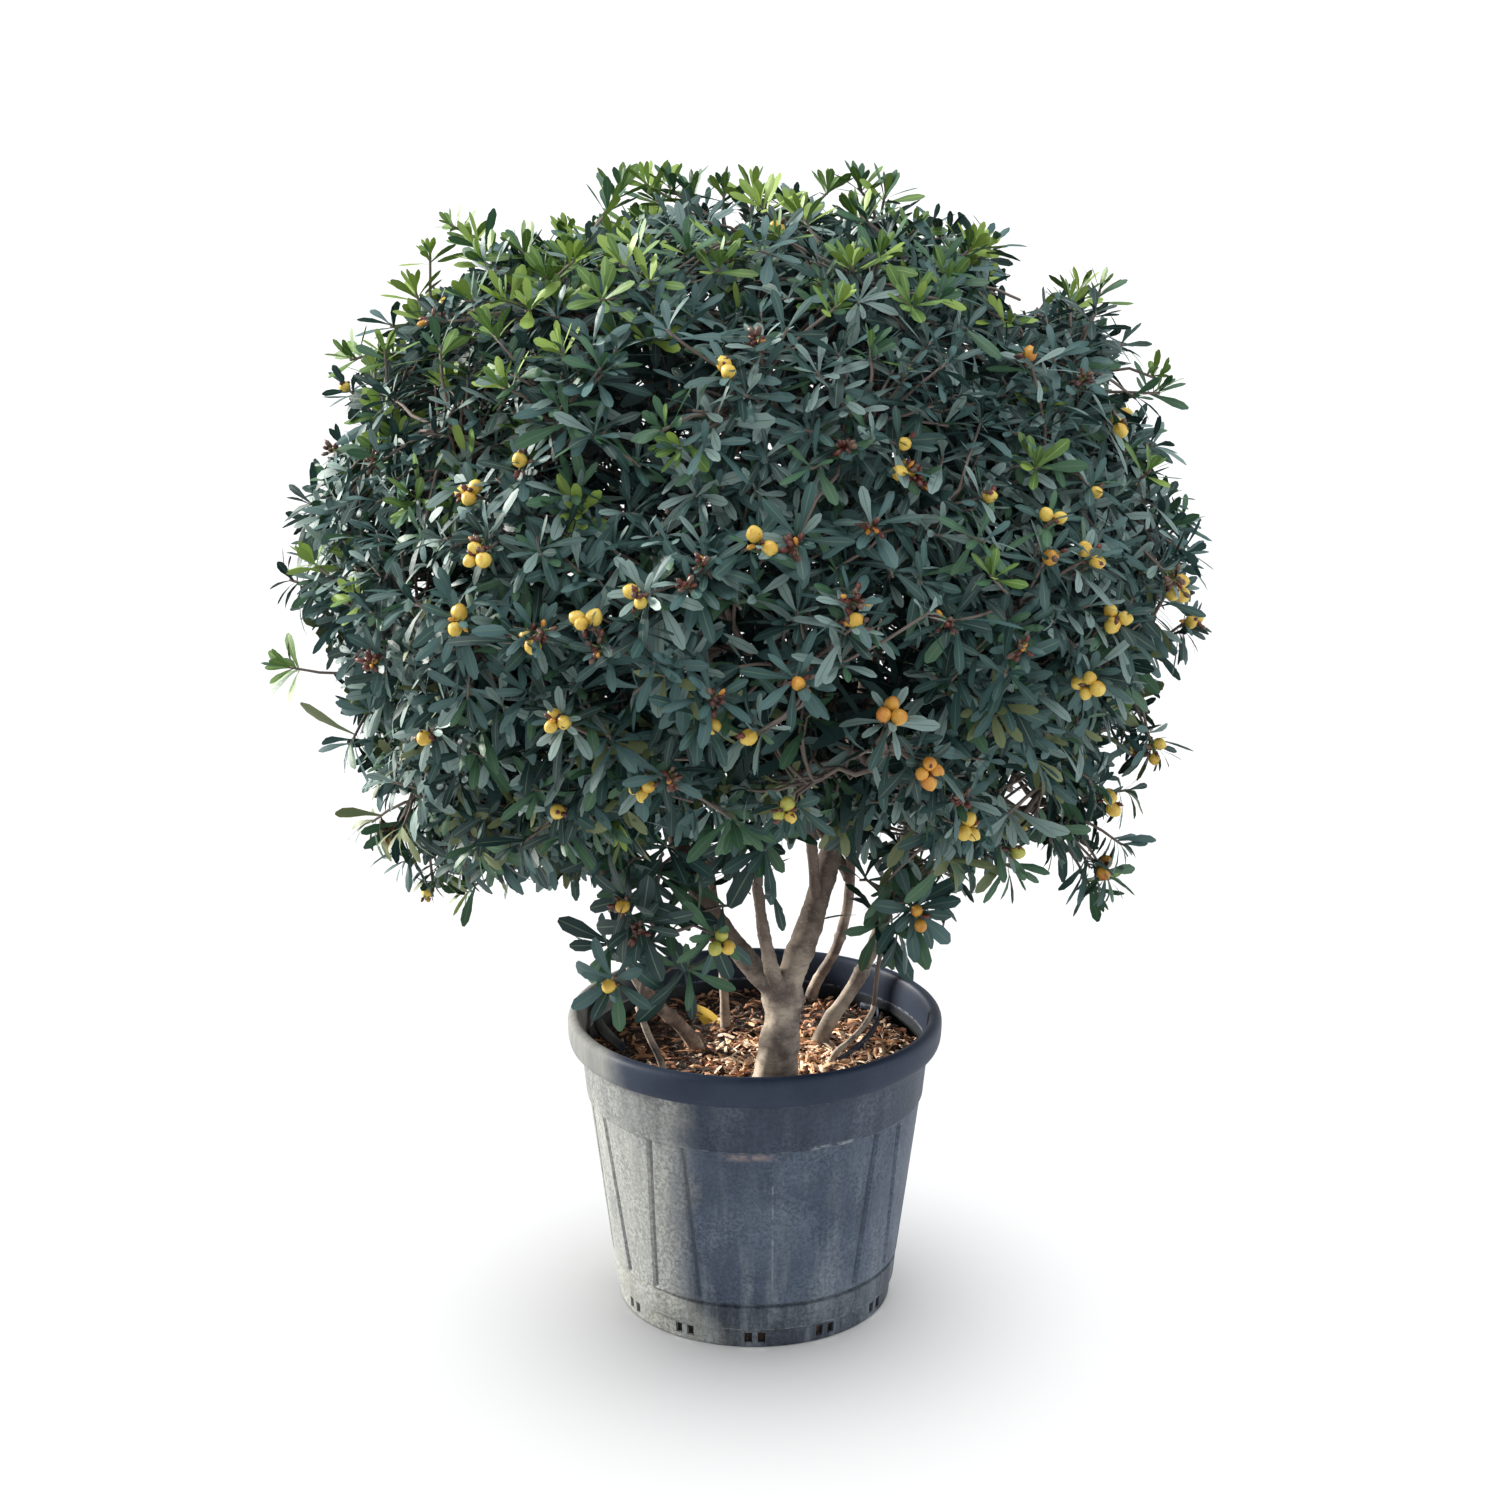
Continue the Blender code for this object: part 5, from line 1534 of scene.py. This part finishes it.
def build_lights(pot):
    """A broad overhead light, a low key light from the left and a little behind, and a pale sky all round.

    The floor has a light of its own, which only the pot shades, so its shadow is a small soft ellipse. The
    limbs and the mix have a second key light, which comes in under the crown past the pot's rim.
    """
    world = bpy.data.worlds.new("studio")
    bpy.context.scene.world = world
    world.use_nodes = True
    background = world.node_tree.nodes["Background"]
    sky = Patterns(world.node_tree, "Generated")
    sky.put(background.inputs["Strength"], sky.ramp(sky.axes()[2], 0.12, 0.50, 1.05, 0.44))
    background.inputs["Color"].default_value = (0.955, 0.98, 1.0, 1.0)
    for light in (
        sun("overhead", 215, 84, 60, 2.65, (0.97, 0.985, 1.0)),
        sun("fill", 345, 25, 40, 0.80, (0.82, 0.91, 1.0)),
        sun("key", 155, 19, 9, 7.0, WARM_WHITE),
    ):
        light.light_linking.receiver_collection = floor_alone("EXCLUDE")
    glow = sun("floor_glow", 90, 82, 64, 4.3, (1.0, 1.0, 1.0))
    glow.light_linking.receiver_collection = floor_alone("INCLUDE")
    glow.light_linking.blocker_collection = listed("floor shading", [pot])
    low_pieces = [bpy.data.objects[name] for name in LOW_PIECES]
    low_pieces += [item for item in bpy.data.objects if item.name.endswith("_bark")]
    low_key = sun("low_key", 155, 19, 9, 4.0, WARM_WHITE)
    low_key.light_linking.receiver_collection = listed("low pieces", low_pieces)
    low_key.light_linking.blocker_collection = listed("low shading", [pot, *low_pieces])
    bpy.context.scene.view_settings.view_transform = "Standard"


def build_camera():
    camera = bpy.data.cameras.new("camera")
    camera.sensor_width = SENSOR_WIDTH
    camera.lens = FOCAL_PIXELS / PHOTO_SIDE * SENSOR_WIDTH
    item = linked("camera", camera)
    item.location = CAMERA_PLACE
    item.rotation_euler = (math.pi / 2 - CAMERA_PITCH, 0, 0)
    bpy.context.scene.camera = item


clear_startup()
build_camera()
build_stage()
make_materials()
pot = build_pot()
build_mix()
build_chips()
build_litter()
limbs = plan_limbs()
boughs = plan_boughs(limbs)
build_bark(limbs, boughs)
grow_crown(limbs, boughs)
build_lights(pot)
